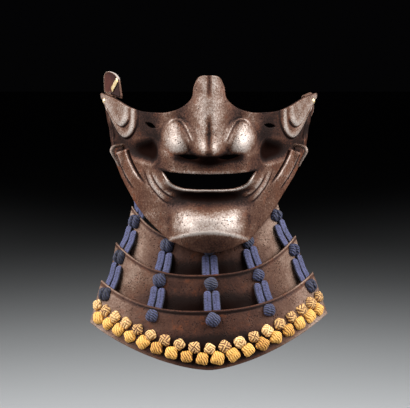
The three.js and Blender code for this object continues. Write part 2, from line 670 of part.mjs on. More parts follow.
// One row of gold knots with their necks, joined by the thread behind the lame.
function goldMesh({ name, count, rise, radius, height }) {
  const lame = LAMES[2];
  const angles = goldAngles(count);
  const back = -LAME_WALL - FIT_GAP - GOLD_NECK.thread;
  const profile = [[0, FIT_GAP], ...domeProfile(GOLD_DOME, radius, height)];
  const knots = angles.map((angle) => {
    const place = lamePlace(lame, angle, goldDrop(angle, rise));
    const neck = rod(GOLD_NECK.radius, back + GOLD_NECK.thread / 2, GOLD_NECK.bite, GOLD_NECK.sides, place);
    return turned(profile, GOLD_NECK.knotSides, place).add(neck);
  });
  const [w, t] = [GOLD_NECK.band / 2, GOLD_NECK.thread / 2];
  const section = [[w, t], [-w, t], [-w, -t], [w, -t]];
  const stations = angles.map((angle) => {
    const { place, side, up } = lameStation(lame, angle, goldDrop(angle, rise), back + t);
    return { place, side: up.clone().cross(side), up };
  });
  return meshOf(name, joined([carried(section, stations), ...knots]), goldSilk);
}

// Bent rod: straight out through the cheek, then down and back towards the jaw.
function hookMesh(side) {
  const { x, z, radius, reach, inside, sag } = HOOK;
  const { origin, axis } = cheekPlace(side, x, z);
  const fallen = (fall) => origin.clone().setZ(z - fall);
  const out = (distance, fall) => fallen(fall).addScaledVector(axis, distance);
  const bend = out(reach, sag);
  const end = bend.clone().add(new THREE.Vector3(side * HOOK_TAIL.x, HOOK_TAIL.y, HOOK_TAIL.z));
  const route = new THREE.CatmullRomCurve3([
    out(-PLATE_WALL - inside, 0),
    out(PLATE_WALL, 0),
    out(reach * HOOK_BEND.reach, sag * HOOK_BEND.sag),
    bend.clone().lerp(end, HOOK_BEND.turn),
    bend.clone().lerp(end, HOOK_BEND.straight),
    end,
  ], false, 'centripetal');
  const section = new THREE.Shape().absarc(0, 0, radius, 0, 2 * Math.PI);
  const geometry = new THREE.ExtrudeGeometry(section, {
    steps: HOOK_BEND.steps, curveSegments: HOOK_BEND.arcSteps, bevelEnabled: false, extrudePath: route,
  });
  return meshOf(`cord_hook_${side < 0 ? 'left' : 'right'}`, solidFrom(geometry), russet);
}

function rivetMesh(side) {
  const { x, z, radius, height, stem, inside, sides } = RIVET;
  const back = -PLATE_WALL - inside;
  const profile = [
    [0, back],
    [stem, back],
    [stem, FIT_GAP],
    ...domeProfile(RIVET_DOME, radius, height),
  ];
  const solid = turned(profile, sides, cheekPlace(side, x, z));
  return meshOf(`ear_rivet_${side < 0 ? 'left' : 'right'}`, solid, gilt);
}

// Fan-shaped outline of an ear flap, along the pin and up from it, with a web in front of the hinge.
function flapOutline(length) {
  const { foot, rearFoot, rearFlare, shoulder, top } = FLAP;
  const inset = HINGE.gap;
  const shape = new THREE.Shape();
  shape.moveTo(FLAP_FRONT.along, FLAP_FRONT.up);
  shape.quadraticCurveTo(FLAP_BOW.share * FLAP_FRONT.along, top, length / 2, top);
  shape.quadraticCurveTo(length + rearFlare, top, length + rearFlare, shoulder);
  shape.lineTo(length + rearFoot, foot);
  shape.lineTo(-inset, foot);
  shape.lineTo(FLAP_WEB.root, FLAP_WEB.foot);
  shape.lineTo(FLAP_WEB.tip, FLAP_WEB.foot);
  shape.lineTo(FLAP_WEB.tip, FLAP_WEB.edge);
  return shape;
}

// Ear flap with its two knuckles, the gilt strip on its outer face and the pin, swung about the hinge.
function earFlap(side, fold) {
  const label = side < 0 ? 'left' : 'right';
  const { matrix, length, inwardSign } = hingeFrame(side);
  const { front, middle, rear } = knuckleRanges(length);
  const upright = new THREE.Matrix4().makeRotationX(Math.PI / 2);
  const plate = new THREE.ExtrudeGeometry(flapOutline(length), {
    depth: FLAP.thickness, bevelEnabled: false, curveSegments: FLAP_BOW.steps,
  });
  plate.translate(0, 0, -FLAP.thickness / 2).applyMatrix4(upright);
  const pinPlace = { origin: new THREE.Vector3(), axis: new THREE.Vector3(1, 0, 0) };
  const [roomFrom, roomTo] = [middle[0] - HINGE.gap, middle[1] + HINGE.gap];
  const room = rod(HINGE.barrel + HINGE.gap, roomFrom, roomTo, HINGE_SIDES.barrel, pinPlace);
  const flap = solidFrom(plate).subtract(room).add(knuckle(...front)).add(knuckle(...rear));

  const stripFrom = new THREE.Vector2(...GILT.from);
  const stripTo = new THREE.Vector2(...GILT.to);
  const run = stripTo.clone().sub(stripFrom);
  const centre = stripFrom.clone().add(stripTo).multiplyScalar(0.5);
  const stripOut = FLAP.thickness / 2 + FIT_GAP + GILT.thickness / 2;
  const strip = new THREE.BoxGeometry(run.length(), GILT.thickness, GILT.width);
  strip.rotateY(-run.angle());
  strip.translate(centre.x, -inwardSign * stripOut, centre.y);

  const swing = new THREE.Group();
  swing.rotation.x = -inwardSign * (FLAP_LEAN + fold);
  swing.add(meshOf(`ear_flap_${label}`, flap, russet), meshOf(`flap_edge_${label}`, solidFrom(strip), gilt));
  const pin = rod(HINGE.pin, 0, length, HINGE_SIDES.pin, pinPlace);
  const hinge = new THREE.Group();
  hinge.applyMatrix4(matrix);
  hinge.add(swing, meshOf(`hinge_pin_${label}`, pin, russet));
  return hinge;
}

const faceGuard = new THREE.Group();
faceGuard.add(facePlate());
faceGuard.add(...LAMES.map(lameMesh));
faceGuard.add(...LACING.map(lacingMesh));
faceGuard.add(...GOLD_ROWS.map(goldMesh));
for (const side of [-1, 1]) {
  faceGuard.add(hookMesh(side), rivetMesh(side));
}
faceGuard.add(earFlap(-1, 0), earFlap(1, FLAP_FOLD));

export default faceGuard;
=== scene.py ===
"""Looks of a face guard of russet iron with a throat guard hung on blue silk lacing.

Sizes are in millimetres until a mesh is made. +Z is up and the face looks along -Y. Left and right
are as seen from the front, so left is -X.
"""

import logging
import math
from dataclasses import dataclass, field
from enum import Enum
from typing import Any, Sequence

import bmesh
import bpy
import numpy as np
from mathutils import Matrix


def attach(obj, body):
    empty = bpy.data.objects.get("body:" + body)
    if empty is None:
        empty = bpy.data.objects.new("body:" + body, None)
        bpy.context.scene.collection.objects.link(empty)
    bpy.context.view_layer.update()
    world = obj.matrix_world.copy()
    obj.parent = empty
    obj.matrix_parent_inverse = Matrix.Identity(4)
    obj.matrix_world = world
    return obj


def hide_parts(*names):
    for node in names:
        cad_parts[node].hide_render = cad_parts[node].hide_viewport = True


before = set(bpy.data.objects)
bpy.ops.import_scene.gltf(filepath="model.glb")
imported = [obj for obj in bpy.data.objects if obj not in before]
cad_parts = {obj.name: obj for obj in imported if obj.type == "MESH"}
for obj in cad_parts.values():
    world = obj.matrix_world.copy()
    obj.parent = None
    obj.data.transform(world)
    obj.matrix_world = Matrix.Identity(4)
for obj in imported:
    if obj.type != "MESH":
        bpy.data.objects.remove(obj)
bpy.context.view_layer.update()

Array = np.ndarray
Colour = tuple[float, float, float]
LOG = logging.getLogger("face_guard")
MM = 0.001


class Side(Enum):
    """Side of the guard as seen from the front."""

    LEFT = -1
    RIGHT = 1

    @property
    def label(self) -> str:
        """Name of the side as pieces carry it."""
        return self.name.lower()


class Body(Enum):
    """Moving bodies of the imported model."""

    GUARD = "face_guard"
    LEFT_FLAP = "left_flap"
    RIGHT_FLAP = "right_flap"


class Slot(Enum):
    """Material slots of the record."""

    IRON = "russet_iron"
    BLUE = "blue_silk"
    GOLD = "gold_silk"
    GILT = "gilt_metal"


# Number curves


def smoothstep(low: float, high: float, value: Array) -> Array:
    """Rise from 0 at low to 1 at high, level at both ends.

    Args:
        low: value where the rise starts.
        high: value where it ends. It may be below low, which gives a fall.
        value: where to read it.

    Returns:
        The rise at each value.
    """
    t = np.clip((value - low) / (high - low), 0.0, 1.0)
    return t * t * (3.0 - 2.0 * t)


def bell(distance: Array, spread: float) -> Array:
    """Bell curve of height 1: e to the minus squared share of the spread."""
    return np.exp(-((distance / spread) ** 2))


def unit(vectors: Array) -> Array:
    """Each vector divided by its own length."""
    return vectors / np.linalg.norm(vectors, axis=-1, keepdims=True)


def table_curve(keys: Array, values: Array, at: Array) -> Array:
    """Smooth curve through a table: cubic between rows, with slopes from the neighbouring rows.

    Args:
        keys: rising positions of the rows.
        values: value of each row.
        at: where to read the curve.

    Returns:
        The curve's value at each position.
    """
    keys, values, at = (np.asarray(part, float) for part in (keys, values, at))
    rows = np.arange(len(keys))
    before = np.maximum(rows - 1, 0)
    after = np.minimum(rows + 1, len(keys) - 1)
    slopes = (values[after] - values[before]) / (keys[after] - keys[before])
    i = np.clip(np.searchsorted(keys[1:], at, "left"), 0, len(keys) - 2)
    step = keys[i + 1] - keys[i]
    t = np.clip((at - keys[i]) / step, 0.0, 1.0)
    rise = values[i + 1] - values[i]
    m0 = slopes[i] * step
    m1 = slopes[i + 1] * step
    return values[i] + t * (m0 + t * (3 * rise - 2 * m0 - m1 + t * (m0 + m1 - 2 * rise)))


def chord_lengths(points: Array) -> Array:
    """Length of the chords from the first point up to each point."""
    return np.concatenate([[0.0], np.cumsum(np.linalg.norm(np.diff(points, axis=0), axis=1))])


def smooth_path(points: Array, count: int) -> Array:
    """Smooth curve through points, evenly sampled by the length of their chords.

    Args:
        points: points of the path, one a row.
        count: how many samples to give.

    Returns:
        Samples of the path, one a row.
    """
    points = np.asarray(points, float)
    chord = chord_lengths(points)
    at = np.linspace(0.0, chord[-1], count)
    return np.stack([table_curve(chord, column, at) for column in points.T], axis=-1)


def number_quads(numbers: Array) -> Array:
    """Faces of a grid of point numbers, each turning from a row to the next column to the next row."""
    corners = [numbers[:-1, :-1], numbers[:-1, 1:], numbers[1:, 1:], numbers[1:, :-1]]
    return np.stack(corners, axis=-1).reshape(-1, 4)


def grid_quads(rows: int, columns: int, wrap: bool = True) -> Array:
    """Faces of a grid whose points are numbered row by row.

    Args:
        rows: rows of points.
        columns: points in a row.
        wrap: whether the last column joins the first.

    Returns:
        Four point numbers for each face.
    """
    index = np.arange(rows * columns).reshape(rows, columns)
    if wrap:
        index = np.concatenate([index, index[:, :1]], axis=1)
    return number_quads(index)


# Meshes


@dataclass
class Bundle:
    """Grids of points gathered into one mesh."""

    points: list[Array] = field(default_factory=list)
    faces: list[Array] = field(default_factory=list)
    cloth: list[Array] = field(default_factory=list)
    finishes: list[Array] = field(default_factory=list)
    marks: dict[str, list[Array]] = field(default_factory=dict)
    count: int = 0

    def add(
        self,
        points: Array,
        faces: Array,
        cloth: Array | None = None,
        finish: Array | int = 0,
        **marks: Array | float,
    ) -> None:
        """Add points and faces.

        Args:
            points: places in millimetres, one a row.
            faces: four point numbers for each face.
            cloth: place of each point on the flat cloth, across and along, in millimetres.
            finish: number of the material, for all faces or for each.
            **marks: a number for each point or for all, by the name materials read it under.
        """
        points = points.reshape(-1, 3)
        self.points.append(points)
        self.faces.append(faces + self.count)
        self.cloth.append(np.zeros((len(points), 2)) if cloth is None else cloth.reshape(-1, 2))
        self.finishes.append(np.broadcast_to(np.asarray(finish), len(faces)))
        for name, values in marks.items():
            self.marks.setdefault(name, []).append(np.broadcast_to(values, len(points)).ravel())
        self.count += len(points)

    def piece(self, name: str) -> bpy.types.Object:
        """Make the mesh, weld its seams and poles, and put it into the scene.

        Args:
            name: name of the piece.

        Returns:
            The new object, with its place in its mesh.
        """
        faces = np.concatenate(self.faces)
        mesh = bpy.data.meshes.new(name)
        mesh.vertices.add(self.count)
        mesh.vertices.foreach_set("co", (np.concatenate(self.points) * MM).astype(np.float32).ravel())
        mesh.loops.add(faces.size)
        mesh.loops.foreach_set("vertex_index", faces.astype(np.int32).ravel())
        mesh.polygons.add(len(faces))
        mesh.polygons.foreach_set("loop_start", np.arange(0, faces.size, 4, dtype=np.int32))
        mesh.polygons.foreach_set("material_index", np.concatenate(self.finishes).astype(np.int32))
        uv = mesh.uv_layers.new(name="cloth")
        uv.data.foreach_set("uv", np.concatenate(self.cloth)[faces].astype(np.float32).ravel())
        for mark, values in self.marks.items():
            layer = mesh.attributes.new(mark, "FLOAT", "POINT")
            layer.data.foreach_set("value", np.concatenate(values).astype(np.float32))
        mesh.update(calc_edges=True)
        work = bmesh.new()
        work.from_mesh(mesh)
        bmesh.ops.remove_doubles(work, verts=work.verts, dist=1e-7)
        work.to_mesh(mesh)
        work.free()
        mesh.polygons.foreach_set("use_smooth", np.ones(len(mesh.polygons), bool))
        mesh.validate()
        made = bpy.data.objects.new(name, mesh)
        bpy.context.scene.collection.objects.link(made)
        return made


def dress(
    piece: bpy.types.Object,
    body: Body,
    finishes: Sequence["Finish"],
    nodes: Sequence[str] = (),
) -> None:
    """Give a piece its finishes, its body and the nodes it stands for.

    Args:
        piece: the new piece.
        body: body that it moves with.
        finishes: finishes in the order of the mesh's material numbers.
        nodes: CAD nodes that the piece replaces.
    """
    for finish in finishes:
        piece.data.materials.append(finish.material())
    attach(piece, body.value)
    if nodes:
        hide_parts(*nodes)
    LOG.info("%s: %d faces on %s", piece.name, len(piece.data.polygons), body.value)


@dataclass(frozen=True)
class Frame:
    """Places along a path or a field, each with a direction across, one along and one out."""

    place: Array
    across: Array
    along: Array
    out: Array

    @classmethod
    def gathered(cls, singles: Sequence["Frame"]) -> "Frame":
        """Single places put together into one field."""
        parts = ("place", "across", "along", "out")
        return cls(*(np.stack([getattr(single, part) for single in singles]) for part in parts))

    def at(self, across: Array, along: Array, out: Array) -> Array:
        """Points at distances from each place, as arrays that match the places in front.

        Args:
            across: distances across.
            along: distances along.
            out: distances out.

        Returns:
            The points, one for each distance.
        """
        extra = (1,) * (np.ndim(across) - (self.place.ndim - 1))
        spread = lambda part: part.reshape(part.shape[:-1] + extra + (3,))
        moved = spread(self.across) * across[..., None] + spread(self.along) * along[..., None]
        return spread(self.place) + moved + spread(self.out) * out[..., None]


def tube(route: Array, radius: Array, sides: int) -> Array:
    """Round bar along a route: a circle at each point, square to the route.

    Args:
        route: points of the route, one a row.
        radius: radius at each point.
        sides: points round the bar.

    Returns:
        Grid of points, one circle a row.
    """
    heading = unit(np.gradient(route, axis=0))
    across = unit(np.cross(heading, np.array([0.13, 0.31, 0.94])))
    other = np.cross(heading, across)
    turn = np.linspace(0.0, 2.0 * np.pi, sides, endpoint=False)
    ring = np.cos(turn)[:, None] * across[:, None] + np.sin(turn)[:, None] * other[:, None]
    return route[:, None] + radius[:, None, None] * ring


def turned(profile: Array, sides: int, origin: Array, axis: Array) -> Array:
    """Turned form: a profile of radius and height carried round an axis.

    Args:
        profile: radius and height of each ring, outwards from the foot.
        sides: points round the axis.
        origin: foot of the axis.
        axis: direction of the axis.

    Returns:
        Grid of points, one ring a row.
    """
    axis = unit(np.asarray(axis, float))
    across = unit(np.cross(axis, np.array([0.31, 0.13, 0.94])))
    other = np.cross(axis, across)
    turn = np.linspace(0.0, 2.0 * np.pi, sides, endpoint=False)
    ring = np.cos(turn)[:, None] * across + np.sin(turn)[:, None] * other
    return origin + profile[:, 1, None, None] * axis + profile[:, 0, None, None] * ring


# Shaders


class Signal:
    """A shader value that takes part in Python expressions, each adding a Math node."""

    def __init__(self, desk: "Desk", socket: bpy.types.NodeSocket) -> None:
        """Wrap a socket of a desk's node tree."""
        self.desk = desk
        self.socket = socket

    def _math(self, operation: str, *values: Any) -> "Signal":
        """Add a Math node.

        Args:
            operation: what it works out.
            *values: signals or numbers that it works on.

        Returns:
            Its result.
        """
        sockets = dict(enumerate(values))
        made = self.desk.node("ShaderNodeMath", {"operation": operation}, sockets)
        return Signal(self.desk, made.outputs[0])

    def __add__(self, other: Any) -> "Signal":
        """Sum with a signal or number."""
        return self._math("ADD", self, other)

    def __sub__(self, other: Any) -> "Signal":
        """Difference from a signal or number."""
        return self._math("SUBTRACT", self, other)

    def __rsub__(self, other: Any) -> "Signal":
        """Number less this signal."""
        return self._math("SUBTRACT", other, self)

    def __mul__(self, other: Any) -> "Signal":
        """Product with a signal or number."""
        return self._math("MULTIPLY", self, other)

    __radd__ = __add__
    __rmul__ = __mul__

    def sine(self) -> "Signal":
        """Sine of this signal."""
        return self._math("SINE", self)

    def size(self) -> "Signal":
        """This signal without its sign."""
        return self._math("ABSOLUTE", self)

    def clamped(self) -> "Signal":
        """This signal held between 0 and 1."""
        made = self.desk.node("ShaderNodeClamp", {}, {"Value": self})
        return Signal(self.desk, made.outputs[0])

    def between(self, low: float, high: float) -> "Signal":
        """Smooth rise as this signal goes from one value to another.

        Args:
            low: value where the rise starts.
            high: value where it ends. It may be below low.

        Returns:
            The rise from 0 to 1.
        """
        sockets = {"Value": self, "From Min": low, "From Max": high}
        made = self.desk.node("ShaderNodeMapRange", {"interpolation_type": "SMOOTHSTEP"}, sockets)
        return Signal(self.desk, made.outputs[0])


class Desk:
    """Node tree of one material, with its shader."""

    MIX_SOCKETS = {"factor": 0, "a": 6, "b": 7, "result": 2}

    def __init__(self, name: str) -> None:
        """Start a material with one Principled shader.

        Args:
            name: name of the material.
        """
        self.made = bpy.data.materials.new(name)
        self.made.use_nodes = True
        self.tree = self.made.node_tree
        self.tree.nodes.clear()
        self.shader = self.node("ShaderNodeBsdfPrincipled")
        self.output = self.node("ShaderNodeOutputMaterial")
        self.tree.links.new(self.shader.outputs[0], self.output.inputs[0])

    def node(
        self,
        kind: str,
        settings: dict[str, Any] | None = None,
        sockets: dict[str | int, Any] | None = None,
    ) -> bpy.types.Node:
        """Add a node.

        Args:
            kind: type of the node.
            settings: its own settings, set first.
            sockets: values or links of its inputs.

        Returns:
            The new node.
        """
        made = self.tree.nodes.new(kind)
        for key, value in (settings or {}).items():
            setattr(made, key, value)
        for key, value in (sockets or {}).items():
            self.feed(made.inputs[key], value)
        return made

    def feed(self, socket: bpy.types.NodeSocket, value: Any) -> None:
        """Link a signal to a socket, or set a plain value on it.

        Args:
            socket: input to feed.
            value: signal, number, or colour of three parts.
        """
        if isinstance(value, Signal):
            self.tree.links.new(value.socket, socket)
        elif isinstance(value, tuple) and len(value) == 3 and socket.type == "RGBA":
            socket.default_value = (*value, 1.0)
        else:
            socket.default_value = value

    def signal(self, node: bpy.types.Node, output: str | int = 0) -> Signal:
        """One output of a node as a signal."""
        return Signal(self, node.outputs[output])

    def places(self) -> Signal:
        """Object coordinates."""
        return self.signal(self.node("ShaderNodeTexCoord"), "Object")

    def cloth(self) -> tuple[Signal, Signal]:
        """Place on the flat cloth.

        Returns:
            Distances across and along, as the mesh carries them.
        """
        flat = self.signal(self.node("ShaderNodeUVMap", {"uv_map": "cloth"}))
        parts = self.node("ShaderNodeSeparateXYZ", {}, {0: flat})
        return self.signal(parts, 0), self.signal(parts, 1)

    def mark(self, name: str) -> Signal:
        """A number that the mesh carries at each point."""
        return self.signal(self.node("ShaderNodeAttribute", {"attribute_name": name}), "Fac")

    def noise(self, size: float, detail: float = 4.0, rough: float = 0.55, warp: float = 0.0) -> Signal:
        """Noise on Object coordinates.

        Args:
            size: size of the patches in millimetres.
            detail: octaves of finer noise.
            rough: strength of the finer octaves.
            warp: how far the pattern is bent by itself.

        Returns:
            Signal from 0 to 1.
        """
        sockets = {
            "Vector": self.places(), "Scale": 1.0 / (size * MM), "Detail": detail,
            "Roughness": rough, "Distortion": warp,
        }
        return self.signal(self.node("ShaderNodeTexNoise", {}, sockets), 0)

    def cells(self, size: float) -> Signal:
        """Distance to the nearest of scattered points on Object coordinates, in cell sizes."""
        sockets = {"Vector": self.places(), "Scale": 1.0 / (size * MM)}
        return self.signal(self.node("ShaderNodeTexVoronoi", {}, sockets), 0)

    def blend(self, a: Any, b: Any, factor: Any) -> Signal:
        """Mix two colours.

        Args:
            a: first colour.
            b: second colour.
            factor: share of the second one.

        Returns:
            The mixed colour.
        """
        at = self.MIX_SOCKETS
        sockets = {at["factor"]: factor, at["a"]: a, at["b"]: b}
        made = self.node("ShaderNodeMix", {"data_type": "RGBA"}, sockets)
        return self.signal(made, at["result"])

    def bump(self, height: Signal, depth: float, strength: float, under: Signal | None = None) -> Signal:
        """Fine relief of the surface.

        Args:
            height: height from 0 to 1.
            depth: depth of the relief in millimetres.
            strength: how strongly it shows.
            under: coarser relief below it.

        Returns:
            The bent normal.
        """
        sockets: dict[str | int, Any] = {"Height": height, "Distance": depth * MM, "Strength": strength}
        if under is not None:
            sockets["Normal"] = under
        return self.signal(self.node("ShaderNodeBump", {}, sockets))

    def dull(self, colour: Colour, share: Signal) -> None:
        """Mix a plain matt shader over the main one.

        Args:
            colour: colour of the matt shader.
            share: share of the matt shader.
        """
        matt = self.node("ShaderNodeBsdfDiffuse", {}, {"Color": colour})
        mixed = self.node("ShaderNodeMixShader", {}, {0: share})
        self.tree.links.new(self.shader.outputs[0], mixed.inputs[1])
        self.tree.links.new(matt.outputs[0], mixed.inputs[2])
        self.tree.links.new(mixed.outputs[0], self.output.inputs[0])

    def finish(self, **sockets: Any) -> bpy.types.Material:
        """Feed the shader, with _ for spaces in its sockets' names, and give the material."""
        for name, value in sockets.items():
            self.feed(self.shader.inputs[name.replace("_", " ")], value)
        return self.made


@dataclass(frozen=True)
class Finish:
    """A surface finish. Its material is made once."""

    name: str

    def material(self) -> bpy.types.Material:
        """Material of the finish."""
        return bpy.data.materials.get(self.name) or self.make()

    def make(self) -> bpy.types.Material:
        """Build the material."""
        raise NotImplementedError


@dataclass(frozen=True)
class RussetIron(Finish):
    """Brown hammered iron, worn where it stands out, pitted, with painted highlights and painted shade."""

    # Deep: pits, and painted shade where the stand mark is lowest.
    deep: Colour = (0.005, 0.002, 0.0015)
    brown: Colour = (0.040, 0.0145, 0.0085)
    tan: Colour = (0.098, 0.049, 0.030)
    # Worn: rubbed metal, and also the colour of painted highlights.
    worn: Colour = (0.440, 0.385, 0.350)
    rust: Colour = (0.110, 0.030, 0.010)
    grain_size: float = 1.5
    grain_share: float = 1.2
    fleck: float = 0.4
    wear: float = 0.0

    def make(self) -> bpy.types.Material:
        """Mottled browns, rust blooms, pits, a hammered grain, and painted highlights and shade.

        Returns:
            The material.
        """
        desk = Desk(self.name)
        clouds = desk.noise(24.0, 5.0, 0.6, 0.3)
        grain = desk.noise(self.grain_size, 3.0, 0.7)
        speckle = desk.noise(1.0, 1.0, 0.5)
        pits = desk.cells(1.7).between(0.40, 0.12) * desk.noise(9.0, 4.0).between(0.44, 0.60)
        blooms = desk.noise(8.0, 6.0, 0.7, 0.6).between(0.52, 0.70)
        stand = desk.mark("stand")

        # The stand mark holds wear and soot together with painted highlights and painted shade.
        level = (clouds - 0.5) * 0.9 + (grain - 0.5) * self.grain_share + stand + self.wear
        patina_and_painted_light = desk.blend(self.brown, self.tan, level.between(-0.25, 0.40))
        rusty = desk.mark("rust")
        patina_and_painted_light = desk.blend(patina_and_painted_light, self.rust, blooms * (rusty * 0.5 + 0.4) + rusty * 0.2)
        worn = (level + (speckle - 0.5) * self.fleck).between(0.10, 1.05)
        patina_and_painted_light = desk.blend(patina_and_painted_light, self.worn, worn * 0.85)
        # Sunk: real pits, and painted shade where the level is low.
        sunk = (pits * 0.85 + level.between(-0.05, -0.60)).clamped()
        patina_and_painted_light = desk.blend(patina_and_painted_light, self.deep, sunk * 0.92)

        polish = 0.60 - worn * 0.06 + (speckle - 0.5) * 0.25 + sunk * 0.2
        hammered = desk.bump(desk.noise(5.0, 2.0, 0.4), 0.6, 0.35)
        grained = desk.bump(grain, 0.5, 0.5, hammered)
        pitted = desk.bump(1.0 - pits, 0.35, 0.7, grained)
        # Matt near-black where the stand mark is lowest: painted shade in the deepest hollows.
        desk.dull(self.deep, stand.between(-0.16, -1.30) * 0.97)
        return desk.finish(
            Base_Color=patina_and_painted_light, Roughness=polish, Metallic=0.12 + worn * 0.40, Normal=pitted,
            Specular_IOR_Level=0.14,
        )


@dataclass(frozen=True)
class InnerLacquer(Finish):
    """Dark red-brown lacquer on the inside of the iron."""

    dark: Colour = (0.010, 0.003, 0.0025)
    red: Colour = (0.050, 0.012, 0.008)

    def make(self) -> bpy.types.Material:
        """Brushed lacquer with worn, dull patches, and painted shade where the stand mark is low.

        Returns:
            The material.
        """
        desk = Desk(self.name)
        clouds = desk.noise(18.0, 6.0, 0.6, 0.3)
        crackle = desk.noise(1.6, 4.0, 0.6)
        colour = desk.blend(self.dark, self.red, clouds.between(0.32, 0.68))
        colour = desk.blend(colour, self.dark, crackle.between(0.62, 0.75) * 0.6)
        # Painted shade where the stand mark is below zero, as on the flap's plate ahead of its gilt strip.
        colour = desk.blend(colour, self.dark, desk.mark("stand").between(0.0, -0.8) * 0.8)
        return desk.finish(
            Base_Color=colour, Roughness=0.50 + clouds * 0.3, Specular_IOR_Level=0.2,
            Normal=desk.bump(crackle, 0.12, 0.4),
        )


@dataclass(frozen=True)
class BraidedSilk(Finish):
    """Blue silk braid: slanted stitches on both sides of a middle line."""

    deep: Colour = (0.006, 0.006, 0.016)
    blue: Colour = (0.024, 0.026, 0.070)
    pale: Colour = (0.070, 0.075, 0.168)
    stitch: float = 1.2

    def make(self) -> bpy.types.Material:
        """Stitches from the cloth's own places, with faded and frayed patches.

        Returns:
            The material.
        """
        desk = Desk(self.name)
        across, along = desk.cloth()
        slant = (along * (2.0 * math.pi / self.stitch) + across.size() * 4.0).sine() * 0.5 + 0.5
        middle = across.size().between(0.10, 0.02)
        border = across.size().between(0.72, 0.98)
        fray = desk.noise(0.9, 3.0, 0.6)
        flecks = desk.noise(1.5, 3.0, 0.6).between(0.56, 0.66)
        fade = desk.noise(7.0, 3.0, 0.6)
        light = slant * 0.30 + fray * 0.55 + fade * 0.35 - 0.20
        # Darker borders are painted shade on the braid's rounded edges.
        light = (light - middle * 0.25 - border * 0.70 - flecks * 0.40).clamped()
        colour = desk.blend(self.deep, self.blue, light.between(0.00, 0.30))
        colour = desk.blend(colour, self.pale, light.between(0.24, 0.66))
        weave = desk.bump(slant - middle * 0.3, 0.3, 0.6)
        return desk.finish(
            Base_Color=colour, Roughness=0.72 + fray * 0.2, Normal=desk.bump(fray, 0.2, 0.5, weave),
            Sheen_Weight=0.15, Sheen_Roughness=0.4, Sheen_Tint=(0.60, 0.62, 0.85, 1.0),
        )


@dataclass(frozen=True)
class WoundSilk(Finish):
    """Wound silk knot: painted sheen along each turn of the thread, painted shade between the turns."""

    # Deep is the painted shade between the turns and light the painted sheen along them.
    deep: Colour = (0.003, 0.003, 0.009)
    body: Colour = (0.007, 0.008, 0.025)
    light: Colour = (0.050, 0.057, 0.150)
    stain: Colour = (0.030, 0.022, 0.022)
    stain_share: float = 0.25
    tint: Colour = (0.60, 0.62, 0.85)

    def make(self) -> bpy.types.Material:
        """Colour from the turns that the mesh carries, with stains and frayed threads.

        Returns:
            The material.
        """
        desk = Desk(self.name)
        turns = desk.mark("thread")
        shade = desk.mark("shade")
        fray = desk.noise(0.7, 4.0, 0.7)
        # Painted sheen on each turn and painted shade between the turns, from the thread mark.
        light = (turns * 0.75 + (fray - 0.5) * 0.5 + (shade - 0.5) * 0.3).clamped()
        colour = desk.blend(self.deep, self.body, light.between(0.02, 0.42))
        colour = desk.blend(colour, self.light, light.between(0.45, 1.0))
        stains = desk.noise(2.4, 4.0, 0.6, 0.5).between(0.52, 0.70)
        colour = desk.blend(colour, self.stain, stains * self.stain_share)
        threads = desk.bump(turns, 0.35, 0.6)
        return desk.finish(
            Base_Color=colour, Roughness=0.62 + fray * 0.25, Normal=desk.bump(fray, 0.18, 0.5, threads),
            Sheen_Weight=0.12, Sheen_Roughness=0.4, Sheen_Tint=(*self.tint, 1.0),
        )


@dataclass(frozen=True)
class GiltMetal(Finish):
    """Old gilding, paler in patches and brown where it has worn through."""

    gold: Colour = (0.690, 0.470, 0.200)
    pale: Colour = (0.860, 0.710, 0.440)
    brown: Colour = (0.180, 0.085, 0.040)

    def make(self) -> bpy.types.Material:
        """Two golds with worn patches and fine scratches.

        Returns:
            The material.
        """
        desk = Desk(self.name)
        clouds = desk.noise(3.0, 5.0, 0.6)
        worn = desk.noise(1.4, 5.0, 0.7, 0.4).between(0.57, 0.70)
        colour = desk.blend(self.gold, self.pale, clouds.between(0.35, 0.65))
        colour = desk.blend(colour, self.brown, worn * 0.65)
        return desk.finish(
            Base_Color=colour, Roughness=0.36 + worn * 0.3 + clouds * 0.08, Metallic=0.62 - worn * 0.4,
            Normal=desk.bump(desk.noise(0.6, 4.0, 0.6), 0.08, 0.5),
        )


IRON = RussetIron("hammered_russet_iron")
# On the lames the worn colour also serves as painted side light.
LAME_IRON = RussetIron(
    "smooth_russet_iron", brown=(0.036, 0.014, 0.009), tan=(0.082, 0.038, 0.022), worn=(0.340, 0.262, 0.215),
    grain_share=0.6, fleck=0.3, wear=-0.08,
)
LACQUER = InnerLacquer("inner_lacquer")
BRAID = BraidedSilk("blue_silk_braid")
BLUE_KNOT = WoundSilk("blue_silk_knot")
# Deep is painted shade between the turns and light painted sheen along them, as for the blue knots.
GOLD_KNOT = WoundSilk(
    "gold_silk_knot", deep=(0.15, 0.048, 0.006), body=(0.58, 0.290, 0.045), light=(0.86, 0.57, 0.19),
    stain=(0.36, 0.12, 0.02), stain_share=0.55, tint=(0.95, 0.80, 0.50),
)
CREAM_KNOT = WoundSilk(
    "faded_gold_silk_knot", deep=(0.10, 0.034, 0.010), body=(0.52, 0.30, 0.100), light=(0.86, 0.64, 0.33),
    stain=(0.17, 0.055, 0.022), stain_share=0.75, tint=(0.95, 0.85, 0.65),
)
GILT = GiltMetal("old_gilding")


# Face plate


